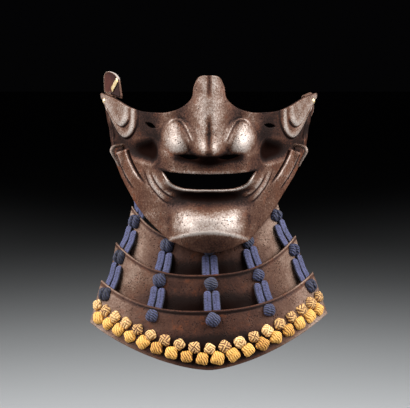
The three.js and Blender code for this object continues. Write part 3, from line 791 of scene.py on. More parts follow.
@dataclass(frozen=True)
class TooledLine:
    """A line worked into the plate, through points at (distance from the middle, height).

    Across the line, with distances positive to the left of its travel, the surface rises by a step,
    carries a ridge and is cut by a groove. Both ends fade out.
    """

    points: tuple[tuple[float, float], ...]
    step: float = 0.0
    step_edge: float = 0.55
    ridge: float = 0.0
    ridge_at: float = 0.0
    ridge_spread: float = 1.0
    groove: float = 0.0
    groove_at: float = 0.0
    groove_spread: float = 0.8
    fade: tuple[float, float] = (0.0, 0.0)
    samples: int = 44

    def measure(self, x: Array, z: Array) -> tuple[Array, Array]:
        """Distance to the line, positive to the left of its travel, and share of its length.

        Args:
            x: distance from the middle plane.
            z: height.

        Returns:
            Signed distance and share from 0 to 1 of the nearest point of the line.
        """
        line = smooth_path(np.array(self.points), self.samples)
        leg = np.diff(line, axis=0)
        offset = np.stack([x, z], axis=-1)[..., None, :] - line[:-1]
        t = np.clip((offset * leg).sum(-1) / (leg**2).sum(-1), 0.0, 1.0)
        distance = np.linalg.norm(offset - t[..., None] * leg, axis=-1)
        left = leg[:, 0] * offset[..., 1] - leg[:, 1] * offset[..., 0]
        nearest = distance.argmin(-1)[..., None]
        pick = lambda values: np.take_along_axis(values, nearest, -1)[..., 0]
        share = (nearest[..., 0] + pick(t)) / len(leg)
        return np.where(pick(left) >= 0.0, 1.0, -1.0) * pick(distance), share

    def relief(self, x: Array, z: Array) -> Array:
        """Height of the worked surface over the plain one: step plus ridge less groove, faded.

        Args:
            x: distance from the middle plane.
            z: height.

        Returns:
            The height.
        """
        distance, share = self.measure(x, z)
        ends = np.ones_like(share)
        if self.fade[0]:
            ends = ends * smoothstep(0.0, self.fade[0], share)
        if self.fade[1]:
            ends = ends * smoothstep(1.0, 1.0 - self.fade[1], share)
        level = self.step * smoothstep(-self.step_edge, self.step_edge, distance)
        level = level + self.ridge * bell(distance - self.ridge_at, self.ridge_spread)
        return ends * (level - self.groove * bell(distance - self.groove_at, self.groove_spread))


@dataclass(frozen=True)
class Patch:
    """Soft patch of the plate: a weight times bells and soft steps over distance and height.

    A bell is given by its middle and spread, and a step by where it starts and ends.
    """

    weight: float
    x_bell: tuple[float, float] | None = None
    z_bell: tuple[float, float] | None = None
    x_steps: tuple[tuple[float, float], ...] = ()
    z_steps: tuple[tuple[float, float], ...] = ()

    def strength(self, x: Array, z: Array) -> Array:
        """Strength of the patch.

        Args:
            x: distance from the middle plane.
            z: height.

        Returns:
            The weight times every bell and step.
        """
        made = np.full_like(x, self.weight)
        for value, peak, steps in ((x, self.x_bell, self.x_steps), (z, self.z_bell, self.z_steps)):
            if peak:
                made = made * bell(value - peak[0], peak[1])
            for low, high in steps:
                made = made * smoothstep(low, high, value)
        return made


@dataclass(frozen=True)
class Opening:
    """Leaf-shaped opening through the plate: where two equal circles overlap.

    Its distance at a point is the larger of the distances to the two circles.
    """

    x: float
    z: float
    half_length: float
    half_width: float
    tilt: float = 0.0
    squeeze: float = 1.0

    def measure(self, x: Array, z: Array) -> tuple[Array, Array, Array]:
        """Distance to the outline, negative inside, and the way in which it grows.

        Args:
            x: place along X.
            z: height.

        Returns:
            Distance, and the outward direction along X and along Z.
        """
        cos, sin = math.cos(self.tilt), math.sin(self.tilt)
        dx = (x - self.x) * self.squeeze
        dz = z - self.z
        along, across = dx * cos + dz * sin, dz * cos - dx * sin
        radius = (self.half_length**2 + self.half_width**2) / (2.0 * self.half_width)
        far = across + np.where(across >= 0.0, 1.0, -1.0) * (radius - self.half_width)
        reach = np.maximum(np.hypot(along, far), 1e-6)
        out_along, out_across = along / reach, far / reach
        grow_x = (out_along * cos - out_across * sin) / self.squeeze
        return reach - radius, grow_x, out_along * sin + out_across * cos


@dataclass
class FaceForm:
    """Form of the hammered face: depth of its outer side at a distance from the middle and a height."""

    ear_half_width: float = 85.0
    ear_depth: float = 92.0
    sweep_power: float = 2.2
    profile: Array = field(default_factory=lambda: np.array([
        (-25, -5.5), (-4.4, -5.5), (3, -3.6), (10, -0.9), (16, 2.4), (20, 3.2), (24, 2), (40, 1.5),
        (55, 2), (80, 4), (115, 9),
    ], float))
    nose: Array = field(default_factory=lambda: np.array([
        (44, 0, 10), (47.5, 1, 10.5), (51, 8, 12), (54, 14, 14), (58, 16.5, 16), (66, 15.5, 20),
        (78, 13.5, 23), (88, 12, 25), (98, 10.5, 24), (115, 8, 22),
    ], float))
    nose_power: float = 1.2
    wing: tuple[float, ...] = (23.5, 65.5, 13.5, 15.0, 13.0, 6.5, 1.3)
    hollow: tuple[float, ...] = (44.0, 54.0, 6.0, 23.0, 11.0, 11.0)
    muzzle: tuple[float, ...] = (6.0, 26.0, 16.0, 25.0, 9.0, 52.0, 18.0)
    boss: tuple[float, ...] = (7.0, 31.0, 4.0, 20.0)
    chin_fade: tuple[float, float] = (18.0, 40.0)
    crease: tuple[float, ...] = (-4.4, 6.5, 28.0, 0.5)
    lip_corner: float = 37.0
    lip_fade: float = 7.0
    lip_spread: float = 2.2
    lips: tuple[tuple[float, ...], ...] = ((26.0, 14.7, 4.0, 1.6), (39.2, 1.5, 2.0, 0.3))

    def crease_line(self, x: Array) -> Array:
        """Height of the crease under the chin: a parabola over the distance from the middle."""
        height, drop, half, _ = self.crease
        return height - drop * (x / half) ** 2

    def depth(self, x: Array, z: Array) -> Array:
        """Depth of the outer face.

        The sweep to the ears is a power of the distance. Profile, chin, nose, wings, muzzle and lips
        are added to it, and the hollow of the cheek is taken out.

        Args:
            x: distance from the middle plane.
            z: height.

        Returns:
            Depth along Y.
        """
        sweep = self.ear_depth * (x / self.ear_half_width) ** self.sweep_power
        middle = 1.0 - smoothstep(*self.chin_fade, x)
        profile = table_curve(self.profile[:, 0], self.profile[:, 1], z) * middle
        under = self.crease[3] * np.maximum(self.crease_line(x) - z, 0.0) * middle

        height = table_curve(self.nose[:, 0], self.nose[:, 1], z)
        half = table_curve(self.nose[:, 0], self.nose[:, 2], z)
        nose = height * (0.5 + 0.5 * np.cos(np.pi * np.minimum(x / half, 1.0) ** self.nose_power))
        wing_x, wing_z, wing_rx, wing_up, wing_down, wing_height, wing_power = self.wing
        tall = np.where(z > wing_z, wing_up, wing_down)
        egg = 1.0 - ((x - wing_x) / wing_rx) ** 2 - ((z - wing_z) / tall) ** 2
        wing = wing_height * np.maximum(egg, 0.0) ** wing_power

        stand, edge, wall, low, rise, high, fall = self.muzzle
        muzzle = stand * smoothstep(low, low + rise, z) * (1.0 - smoothstep(high, high + fall, z))
        muzzle = muzzle * (1.0 - smoothstep(edge, edge + wall, x))
        hollow_x, hollow_z, inner, outer, tall, hollow_depth = self.hollow
        from_x = (x - hollow_x) / np.where(x > hollow_x, outer, inner)
        from_z = (z - hollow_z) / tall
        hollow = hollow_depth * np.maximum(1.0 - from_x**2 - from_z**2, 0.0) ** 2

        corner = self.lip_corner
        rolls = [
            roll * bell(z - base - lift * (x / corner) ** power, self.lip_spread)
            for base, lift, power, roll in self.lips
        ]
        lips = sum(rolls) * (1.0 - smoothstep(corner - self.lip_fade, corner, x))
        boss_height, boss_half, boss_low, boss_high = self.boss
        boss = boss_height * np.maximum(1.0 - (x / boss_half) ** 2, 0.0) ** 1.2
        boss = boss * (1.0 - smoothstep(boss_low, boss_high, z))
        raised = nose + wing + muzzle + lips + boss
        return sweep + profile + under - raised + hollow

    def normal(self, x: Array, z: Array) -> Array:
        """Outward direction of the face, from the slopes of its depth.

        Args:
            x: distance from the middle plane.
            z: height.

        Returns:
            Unit vectors.
        """
        step = 0.05
        slope_x = (self.depth(x + step, z) - self.depth(np.maximum(x - step, 0.0), z)) / (2.0 * step)
        slope_z = (self.depth(x, z + step) - self.depth(x, z - step)) / (2.0 * step)
        return unit(np.stack([slope_x, -np.ones_like(slope_x), slope_z], axis=-1))

    def place(self, side: Side, x: float, z: float) -> tuple[Array, Array]:
        """A point of the outer face on one side.

        Args:
            side: side of the guard.
            x: distance from the middle plane.
            z: height.

        Returns:
            The point and its outward direction.
        """
        mirror = np.array([side.value, 1.0, 1.0])
        at_x, at_z = np.array(x), np.array(z)
        point = np.stack([at_x, self.depth(at_x, at_z), at_z])
        return point * mirror, self.normal(at_x, at_z) * mirror


EAR_TONGUES = (
    TooledLine(
        ((60.3, 84.0), (61.2, 78.3), (64.3, 73.4), (67.7, 71.0), (71.0, 72.6), (74.8, 77.7),
         (79.0, 84.0), (84.0, 90.5)),
        step=1.2, ridge=0.5, ridge_at=2.4, ridge_spread=2.2, groove=0.5, groove_at=-0.7, groove_spread=0.7,
    ),
    TooledLine(
        ((54.3, 84.0), (54.3, 79.5), (56.0, 72.5), (59.8, 66.0), (65.8, 62.3), (70.9, 65.3),
         (77.0, 74.8), (83.2, 86.4)),
        step=1.2, ridge=0.5, ridge_at=2.4, ridge_spread=2.0, groove=0.6, groove_at=-0.7, groove_spread=0.7,
    ),
)
TONGUE_FADES = ((59.5, 64.5), (53.5, 59.0))

FACE_LINES = (
    # Wrinkles round the corners of the mouth
    TooledLine(
        ((24.0, 19.2), (30.2, 21.1), (35.8, 25.4), (41.5, 33.0), (45.0, 41.0)),
        ridge=0.75, ridge_at=2.0, ridge_spread=1.9, groove=0.7, groove_spread=0.65, fade=(0.3, 0.35),
    ),
    TooledLine(
        ((28.0, 14.6), (33.0, 16.4), (37.8, 20.5), (43.7, 27.7), (47.4, 35.2), (50.0, 42.0)),
        ridge=0.75, ridge_at=2.2, ridge_spread=2.0, groove=0.7, groove_spread=0.65, fade=(0.3, 0.35),
    ),
    # Arc over the wing of the nose
    TooledLine(
        ((12.0, 62.0), (16.2, 71.0), (19.9, 77.0), (23.2, 79.0), (28.0, 77.7), (31.8, 74.0)),
        ridge=0.32, ridge_at=0.4, ridge_spread=0.65, groove=0.35, groove_at=-1.0, groove_spread=0.7,
        fade=(0.12, 0.2),
    ),
    # Fold at the side of the chin
    TooledLine(
        ((29.3, 13.5), (29.6, 6.0), (29.6, -3.0), (28.8, -10.0)),
        groove=0.3, groove_spread=2.2, fade=(0.4, 0.1),
    ),
    # Hollow between the ear's rear flange and the lower tongue
    TooledLine(((80.5, 74.0), (78.0, 66.5), (74.8, 58.5)), groove=1.2, groove_spread=1.7, fade=(0.4, 0.3)),
)


JAW_BAND = TooledLine(((67.2, 50.6), (61.4, 39.8), (54.0, 29.5), (49.0, 24.0)))

RELIEF_PATCHES = (
    # Cheek sunk round the tongues
    Patch(-1.2, x_steps=((56.0, 64.0),), z_steps=((48.0, 58.0),)),
    # Grooves down the top of the bridge and along the ridge of the nose
    Patch(-1.3, x_bell=(0.0, 2.3), z_steps=((93.0, 100.0),)),
    Patch(-0.7, x_bell=(0.0, 2.0), z_steps=((53.0, 58.0), (84.0, 74.0))),
)

WEAR_AND_PAINTED_LIGHT_PATCHES = (
    # Worn bridge of the nose, with painted shade along the ridge and under the tip
    Patch(0.08, x_bell=(0.0, 17.0), z_steps=((60.0, 68.0),)),
    Patch(-0.55, x_bell=(0.0, 2.4), z_steps=((48.0, 55.0), (88.0, 74.0))),
    Patch(-0.55, x_bell=(0.0, 10.0), z_bell=(55.0, 5.5)),
    # Worn chin, with painted highlights towards its corners
    Patch(0.10, x_steps=((38.0, 16.0),), z_steps=((-5.0, 1.0), (21.0, 6.0))),
    Patch(0.32, x_bell=(17.0, 7.5), x_steps=((38.0, 16.0),), z_steps=((-5.0, 1.0), (21.0, 6.0))),
    # Painted shade in the hollow of the cheek, and darker round its slot
    Patch(-0.9, z_bell=(53.8, 8.5), x_steps=((35.5, 40.0), (64.0, 40.0))),
    Patch(-0.25, x_bell=(45.0, 9.0), z_steps=((60.0, 67.0),)),
    # Dull, darker upper lip, with painted shade darkest along the mouth's edge
    Patch(-0.30, x_steps=((46.0, 36.0),), z_steps=((38.0, 41.0), (56.0, 48.0))),
    Patch(-0.5, z_bell=(40.0, 1.5), x_steps=((39.0, 35.0),)),
)
JAW_RUST = Patch(1.0, x_steps=((44.0, 62.0),), z_steps=((64.0, 52.0),))


@dataclass
class FacePlate:
    """Half-mask: a sheet from the chin to the upper rim with an open mouth, thickened to a wall."""

    form: FaceForm = field(default_factory=FaceForm)
    wall: float = 1.6
    mouth_corner: float = 0.42
    mouth_columns: int = 58
    cheek_columns: int = 84
    lower_rows: int = 58
    upper_rows: int = 98
    ear_packing: float = 0.72
    rim_steps: int = 3
    # Fall of the stand mark across the rim's steps, outer to inner: painted shade on the rim.
    rim_marks: tuple[float, ...] = (-0.10, -0.7, -1.2)
    rim_bulge: float = 0.5
    # Smoothing passes and weights for painted shade in hollows and wear on what stands out.
    wear_and_painted_shade_scales: tuple[tuple[int, float], ...] = ((5, 1.4), (60, 0.11), (400, 0.09))
    spread_from: float = 0.34
    spread_width: float = 4.5
    ribs: Array = field(default_factory=lambda: np.array([
        # share, chin x z, lower lip x z, upper lip x z, rim x z
        (0.00, 0, -20.5, 0, 26.0, 0, 39.2, 0, 112.2),
        (0.08, 8, -19.6, 6.5, 26.0, 6.5, 39.3, 7.3, 110.8),
        (0.16, 16, -17.3, 13.5, 26.1, 13.5, 39.4, 11, 104.6),
        (0.24, 23.5, -14.2, 21, 26.7, 20.5, 39.6, 13.2, 95),
        (0.32, 30.2, -12.2, 28.7, 30, 28.5, 40.1, 21, 87.5),
        (0.42, 37.2, -5.2, 37, 40.7, 37, 40.7, 32, 83.6),
        (0.52, 44.2, 2.2, 45, 45, 45, 45, 42, 83.2),
        (0.64, 51.2, 11.2, 54, 50, 54, 50, 52, 83.6),
        (0.76, 58, 21, 63, 56, 63, 56, 62, 86.4),
        (0.88, 67, 33.5, 72, 63.5, 72, 63.5, 73, 91.5),
        (1.00, 76.5, 50, 80.8, 72, 80.8, 72, 85, 95),
    ], float))
    openings: tuple[Opening, ...] = (
        Opening(-44.6, 73.8, 5.0, 2.1, -0.36),
        Opening(46.4, 73.4, 5.0, 2.0, -0.22),
        Opening(-14.6, 51.4, 8.6, 2.1, -0.10),
        Opening(14.6, 51.4, 8.6, 2.1, 0.10),
    )

    def columns(self) -> Array:
        """Shares of the half width, left to right, closer together towards the ears.

        Returns:
            Shares from -1 to 1.
        """
        near = np.linspace(0.0, self.mouth_corner, self.mouth_columns, endpoint=False)
        far = np.linspace(0.0, 1.0, self.cheek_columns + 1)
        far = 1.0 - (1.0 - far) ** (1.0 / self.ear_packing)
        right = np.concatenate([near, self.mouth_corner + (1.0 - self.mouth_corner) * far])
        return np.concatenate([-right[:0:-1], right])

    def rib_line(self, first: int, share: Array) -> tuple[Array, Array]:
        """Distance from the middle and height of one of the ribs' lines.

        Args:
            first: column of the line's distance in the table of ribs.
            share: share of the half width.

        Returns:
            Distance and height along the line.
        """
        read = lambda column: table_curve(self.ribs[:, 0], self.ribs[:, column], share)
        return read(first), read(first + 1)

    def lower_lip(self, x: Array) -> Array:
        """Height of the lower lip's edge at a distance from the middle."""
        return np.interp(x, *self.rib_line(3, np.linspace(0.0, self.mouth_corner, 40)))

    def flat(self) -> tuple[Array, Array, Array]:
        """Distance from the middle, the same with the wider left jaw, and height of the whole grid.

        The lower patch runs from the chin to the lower lip and the upper one from the upper lip to
        the rim, straight between the lines. Past the corner of the mouth the lips are one line.

        Returns:
            Three grids, the lower patch's rows first.
        """
        u = self.columns()
        share = np.abs(u)
        chin, low, high, rim = (self.rib_line(first, share) for first in (1, 3, 5, 7))
        past = share >= self.mouth_corner
        high = tuple(np.where(past, a, b) for a, b in zip(low, high))
        below = np.linspace(0.0, 1.0, self.lower_rows + 1)[:, None]
        above = np.linspace(0.0, 1.0, self.upper_rows + 1)[:, None]
        x, z = (
            np.concatenate([a + (b - a) * below, c + (d - c) * above])
            for a, b, c, d in zip(chin, low, high, rim)
        )
        reach = np.clip((share - self.spread_from) / (1.0 - self.spread_from), 0.0, 1.0)
        widen = np.where(u < 0.0, self.spread_width * np.sin(np.pi * reach), 0.0)
        widen = np.concatenate([widen * (1.0 - below), 0.0 * above * widen])
        return x, x + widen, z

    def tooling(self, x: Array, z: Array) -> Array:
        """Height of everything worked into the outer face over its plain form.

        Args:
            x: distance from the middle plane, before the jaw widens.
            z: height.

        Returns:
            Height along the outward direction.
        """
        raised = sum(line.relief(x, z) for line in FACE_LINES)
        raised = raised + sum(patch.strength(x, z) for patch in RELIEF_PATCHES)
        for line, (low, high) in zip(EAR_TONGUES, TONGUE_FADES):
            raised = raised + line.relief(x, z) * smoothstep(low, high, x)
        raised = raised + self.ear_flange(x, z) + self.jaw_band(x, z)
        return raised + self.lip_rims(x, z) + self.hammering(x, z)

    def ear_flange(self, x: Array, z: Array) -> Array:
        """Raised flange along the rear edge, which is a straight line from jaw to ear."""
        edge = np.interp(z, self.ribs[-1, [2, 8]], self.ribs[-1, [1, 7]])
        return 0.7 * smoothstep(2.8, 1.8, edge - x) * smoothstep(60.0, 70.0, x) * smoothstep(90.0, 80.0, z)

    def jaw_band(self, x: Array, z: Array) -> Array:
        """Flat raised band down the jaw with a groove on each side, square at its upper end.

        Args:
            x: distance from the middle plane.
            z: height.

        Returns:
            Its height.
        """
        distance, share = JAW_BAND.measure(x, z)
        gone = smoothstep(1.0, 0.55, share)
        apart = np.abs(distance)
        band = 0.9 * smoothstep(4.3, 3.4, apart) * gone * smoothstep(52.5, 51.5, z + 0.5 * (x - 67.0))
        grooves = 1.1 * bell(apart - 4.7, 0.85) * gone * (share > 0.0)
        return band - grooves

    def lip_rims(self, x: Array, z: Array) -> Array:
        """Rolled edge of the lower lip, and the hollow and crease under it and the chin.

        Args:
            x: distance from the middle plane.
            z: height.

        Returns:
            Their height.
        """
        lip = self.lower_lip(x)
        inside = smoothstep(37.5, 34.0, x)
        roll = 0.35 * bell(z - lip, 0.9) * smoothstep(lip + 4.0, lip + 1.0, z) * inside
        under = 1.6 * bell(z - lip + 5.0, 2.8) * smoothstep(32.0, 18.0, x)
        ledge = 0.2 * bell(z - self.form.crease_line(x) - 0.7, 1.0) * smoothstep(31.0, 26.0, x)
        return roll - under + ledge

    def hammering(self, x: Array, z: Array) -> Array:
        """Slight unevenness from the hammer: crossing waves of unrelated lengths."""
        waves = np.sin(x / 3.1 + z / 5.3) * np.sin(z / 2.7 - x / 6.1) + np.sin(x / 1.9 - z / 2.3 + 1.0) * 0.5
        return 0.07 * waves

    def patina_and_painted_light(self, x: Array, z: Array) -> Array:
        """Wear, soot and painted light by place: bright nose, wings, chin and ears, dark cheeks and slots.

        The patches are summed, with those that follow the wings, tongues, nostrils and lower lip. Wings and
        chin carry painted highlights on top of their wear, and the lower lip's edge a painted highlight on
        its worn edge. Painted shade darkens the hollows, the ridge and tip of the nose, the nostrils, the
        upper lip's edge, the jaw's grooves and the band under the lower lip.

        Args:
            x: distance from the middle plane.
            z: height.

        Returns:
            Mark to add to what stands out.
        """
        edge = self.lower_lip(x)
        # Wings: wear and painted highlight over their domes.
        wings = 0.38 * np.maximum(1.0 - ((x - 23.0) / 17.0) ** 2 - ((z - 67.5) / 16.0) ** 2, 0.0)
        tongue = smoothstep(-0.4, 0.6, EAR_TONGUES[1].measure(x, z)[0]) * smoothstep(*TONGUE_FADES[1], x)
        cheek = 0.34 * smoothstep(34.0, 40.0, x) * smoothstep(44.0, 52.0, z) * (1.0 - tongue)
        # Painted shade in a band under the nose and its wings.
        nostrils = 1.2 * bell(z - 49.8 - 0.06 * x, 3.0) * smoothstep(30.0, 20.0, x)
        # Painted shadow under the lower lip.
        under = bell(z - edge + 2.8, 2.6) * smoothstep(28.0, 12.0, x)
        # Worn edge and painted highlight along the top of the lower lip.
        rim = 0.22 * smoothstep(edge - 0.5, edge, z) * smoothstep(edge + 4.0, edge + 2.0, z)
        rim = rim * smoothstep(33.0, 26.0, x)
        # Painted shade in the grooves beside the jaw band.
        grooves = 0.6 * np.maximum(-self.jaw_band(x, z), 0.0)
        soot_and_painted_shade = cheek + nostrils + under + grooves
        return sum(patch.strength(x, z) for patch in WEAR_AND_PAINTED_LIGHT_PATCHES) + wings + 0.14 * tongue + rim - soot_and_painted_shade

    def snapped(self, x: Array, z: Array, spacing: float = 0.62) -> tuple[Array, Array]:
        """Move the points nearest to an opening's outline onto it.

        Args:
            x: place along X.
            z: height.
            spacing: how near a point has to be, in millimetres.

        Returns:
            The places and heights after the move.
        """
        for opening in self.openings:
            distance, grow_x, grow_z = opening.measure(x, z)
            near = np.abs(distance) < spacing
            x = np.where(near, x - distance * grow_x, x)
            z = np.where(near, z - distance * grow_z, z)
        return x, z

    def curvature(self, points: Array, out: Array, passes: int) -> Array:
        """How far each point lies under the mean of its neighbourhood, along the outward direction.

        Args:
            points: grid of points.
            out: outward direction at each point.
            passes: how often the neighbours are averaged.

        Returns:
            Depth under the mean, negative where the point stands out.
        """
        soft = points
        for _ in range(passes):
            wide = np.pad(soft, ((1, 1), (1, 1), (0, 0)), "edge")
            soft = (wide[:-2, 1:-1] + wide[2:, 1:-1] + wide[1:-1, :-2] + wide[1:-1, 2:]) / 4.0
        return ((soft - points) * out).sum(-1)

    def sheet(self) -> tuple[Array, Array, Array, dict[str, Array]]:
        """Outer and inner points, faces, and the marks that the finish reads.

        Returns:
            Outer points, inner points, faces of the outer sheet, and marks by name.
        """
        plain, wide, z = self.flat()
        sign = np.where(self.columns() < 0.0, -1.0, 1.0)
        x, z = self.snapped(sign * wide, z)
        reach = np.abs(x)
        mirror = np.stack([np.broadcast_to(sign, x.shape), np.ones_like(x), np.ones_like(x)], axis=-1)
        out = self.form.normal(reach, z) * mirror
        base = np.stack([x, self.form.depth(reach, z), z], axis=-1)
        worked = self.tooling(np.abs(plain + reach - wide), z)
        outer = base + out * worked[..., None]
        inner = base + out * (np.minimum(worked, 0.0) - self.wall)[..., None]
        # Painted shade in hollows, and wear on what stands out, from depth under the neighbours.
        sunk = sum(weight * self.curvature(outer, out, passes) for passes, weight in self.wear_and_painted_shade_scales)
        stand = np.clip(worked * 0.12 - sunk, -1.0, 1.0)
        stand = stand + self.patina_and_painted_light(np.abs(plain + reach - wide), z)
        crease = self.form.crease_line(plain)
        # Painted shade under the chin's crease.
        stand = stand - 0.45 * smoothstep(crease - 0.3, crease - 2.5, z) * smoothstep(32.0, 27.0, plain)
        marks = {"stand": stand.ravel(), "rust": JAW_RUST.strength(plain, z).ravel()}

        rows, columns = x.shape
        index = np.arange(rows * columns).reshape(rows, columns)
        past = np.abs(self.columns()) >= self.mouth_corner - 1e-9
        seam = self.lower_rows + 1
        index[seam, past] = index[seam - 1, past]
        faces = np.concatenate([number_quads(index[:seam]), number_quads(index[seam:])])
        flat_x, flat_z = x.ravel()[faces].mean(1), z.ravel()[faces].mean(1)
        nearest = np.min([opening.measure(flat_x, flat_z)[0] for opening in self.openings], axis=0)
        faces = faces[nearest > 0.0]
        used, faces = np.unique(faces, return_inverse=True)
        marks = {name: values[used] for name, values in marks.items()}
        return outer.reshape(-1, 3)[used], inner.reshape(-1, 3)[used], faces.reshape(-1, 4), marks

    def shell(self) -> Bundle:
        """Closed wall: outer sheet, inner sheet turned round, and a rounded strip along each open edge.

        Across an open edge the strip is a half ellipse from the outer to the inner point.

        Returns:
            The mesh in one bundle, with finish 0 outside and 1 inside.
        """
        outer, inner, faces, marks = self.sheet()
        count = len(outer)
        sides = np.concatenate([faces[:, [k, (k + 1) % 4]] for k in range(4)])
        low, high = sides.min(1), sides.max(1)
        _, where, often = np.unique(low * count + high, return_inverse=True, return_counts=True)
        edges = sides[often[where.ravel()] == 1]
        rim, at = np.unique(edges, return_inverse=True)
        at = at.reshape(edges.shape)
        away = np.cross(outer[edges[:, 1]] - outer[edges[:, 0]], (outer - inner)[edges[:, 0]])
        total = np.zeros((len(rim), 3))
        np.add.at(total, at.ravel(), np.repeat(unit(away), 2, axis=0))
        bulge = unit(total + 1e-9) * self.rim_bulge
        middle, half = (outer[rim] + inner[rim]) / 2.0, (outer[rim] - inner[rim]) / 2.0
        turn = np.linspace(0.0, np.pi, self.rim_steps + 2)[1:-1, None, None]
        strip = middle + np.cos(turn) * half + np.sin(turn) * bulge
        numbers = np.arange(strip[..., 0].size).reshape(self.rim_steps, -1) + 2 * count
        levels = np.concatenate([rim[None], numbers, rim[None] + count])
        a, b = levels[:, at[:, 0]], levels[:, at[:, 1]]
        strips = np.stack([b[:-1], a[:-1], a[1:], b[1:]], axis=-1).reshape(-1, 4)

        # Painted shade across the rounded rim, darker towards the inside.
        fall = np.array(self.rim_marks)[:, None]
        read = lambda name, share: np.concatenate(
            [marks[name], np.zeros(count), (marks[name][rim] + share * fall).ravel()]
        )
        finish = np.repeat([0, 1, 0], [len(faces), len(faces), len(strips)])
        every = np.concatenate([faces, faces[:, ::-1] + count, strips])
        points = np.concatenate([outer, inner, strip.reshape(-1, 3)])
        bundle = Bundle()
        bundle.add(points, every, finish=finish, stand=read("stand", 1.0), rust=read("rust", 0.0))
        return bundle

    def build(self) -> None:
        """Make the plate and dress it."""
        plate = self.shell().piece("mask_plate")
        dress(plate, Body.GUARD, [IRON, LACQUER], ["face_plate"])


# Throat guard


@dataclass(frozen=True)
class LameEdge:
    """Edge of a lame: front point, bend radius, height in the middle and rise to the ends."""

    front: float
    radius: float
    z: float
    rise: float
    power: float


@dataclass(frozen=True)
class Lame:
    """One curved plate of the throat guard, straight between its two edges."""

    node: str
    top: LameEdge
    bottom: LameEdge
    span: float = math.radians(61.5)
    flatten: float = 0.88
    roll: float = math.radians(2.2)
    shift: float = -3.0

    def edge_points(self, edge: LameEdge, angle: Array) -> Array:
        """Points of an edge: a flattened circle that climbs towards its ends, rolled with the guard.

        Args:
            edge: edge of the lame.
            angle: place round the bend.

        Returns:
            Points, one for each angle.
        """
        share = np.abs(np.sin(angle)) / math.sin(self.span)
        x = edge.radius * np.sin(angle)
        y = edge.front + self.flatten * edge.radius * (1.0 - np.cos(angle))
        z = edge.z + edge.rise * share**edge.power
        cos, sin = math.cos(self.roll), math.sin(self.roll)
        return np.stack([x * cos - z * sin + self.shift, y, x * sin + z * cos], axis=-1)

    def height(self, angle: Array) -> Array:
        """Distance from the top edge to the bottom one."""
        gap = self.edge_points(self.bottom, angle) - self.edge_points(self.top, angle)
        return np.linalg.norm(gap, axis=-1)

    def stations(self, angle: Array, drop: Array, out: Array) -> Frame:
        """Places below the top edge and out from the outer face.

        Args:
            angle: place round the bend.
            drop: distance below the top edge.
            out: distance out from the face.

        Returns:
            Places with the directions across, down and out.
        """
        angle, drop, out = np.broadcast_arrays(*(np.asarray(part, float) for part in (angle, drop, out)))
        step = 0.01
        top = self.edge_points(self.top, angle)
        down = unit(self.edge_points(self.bottom, angle) - top)
        side = self.edge_points(self.top, angle + step) - self.edge_points(self.top, angle - step)
        away = unit(np.cross(down, side))
        across = unit(np.cross(away, down))
        return Frame(top + down * drop[..., None] + away * out[..., None], across, down, away)


LAMES = (
    Lame("throat_lame_top", LameEdge(13, 64, -13, 24.5, 3.2), LameEdge(3, 74, -47, 22, 2.6)),
    Lame("throat_lame_middle", LameEdge(-1, 79, -38, 22.6, 2.9), LameEdge(-7.5, 88, -72.5, 20.5, 2.6)),
    Lame("throat_lame_bottom", LameEdge(-12, 93, -63.5, 19.8, 2.7), LameEdge(-22, 104, -105.6, 31, 1.55)),
)


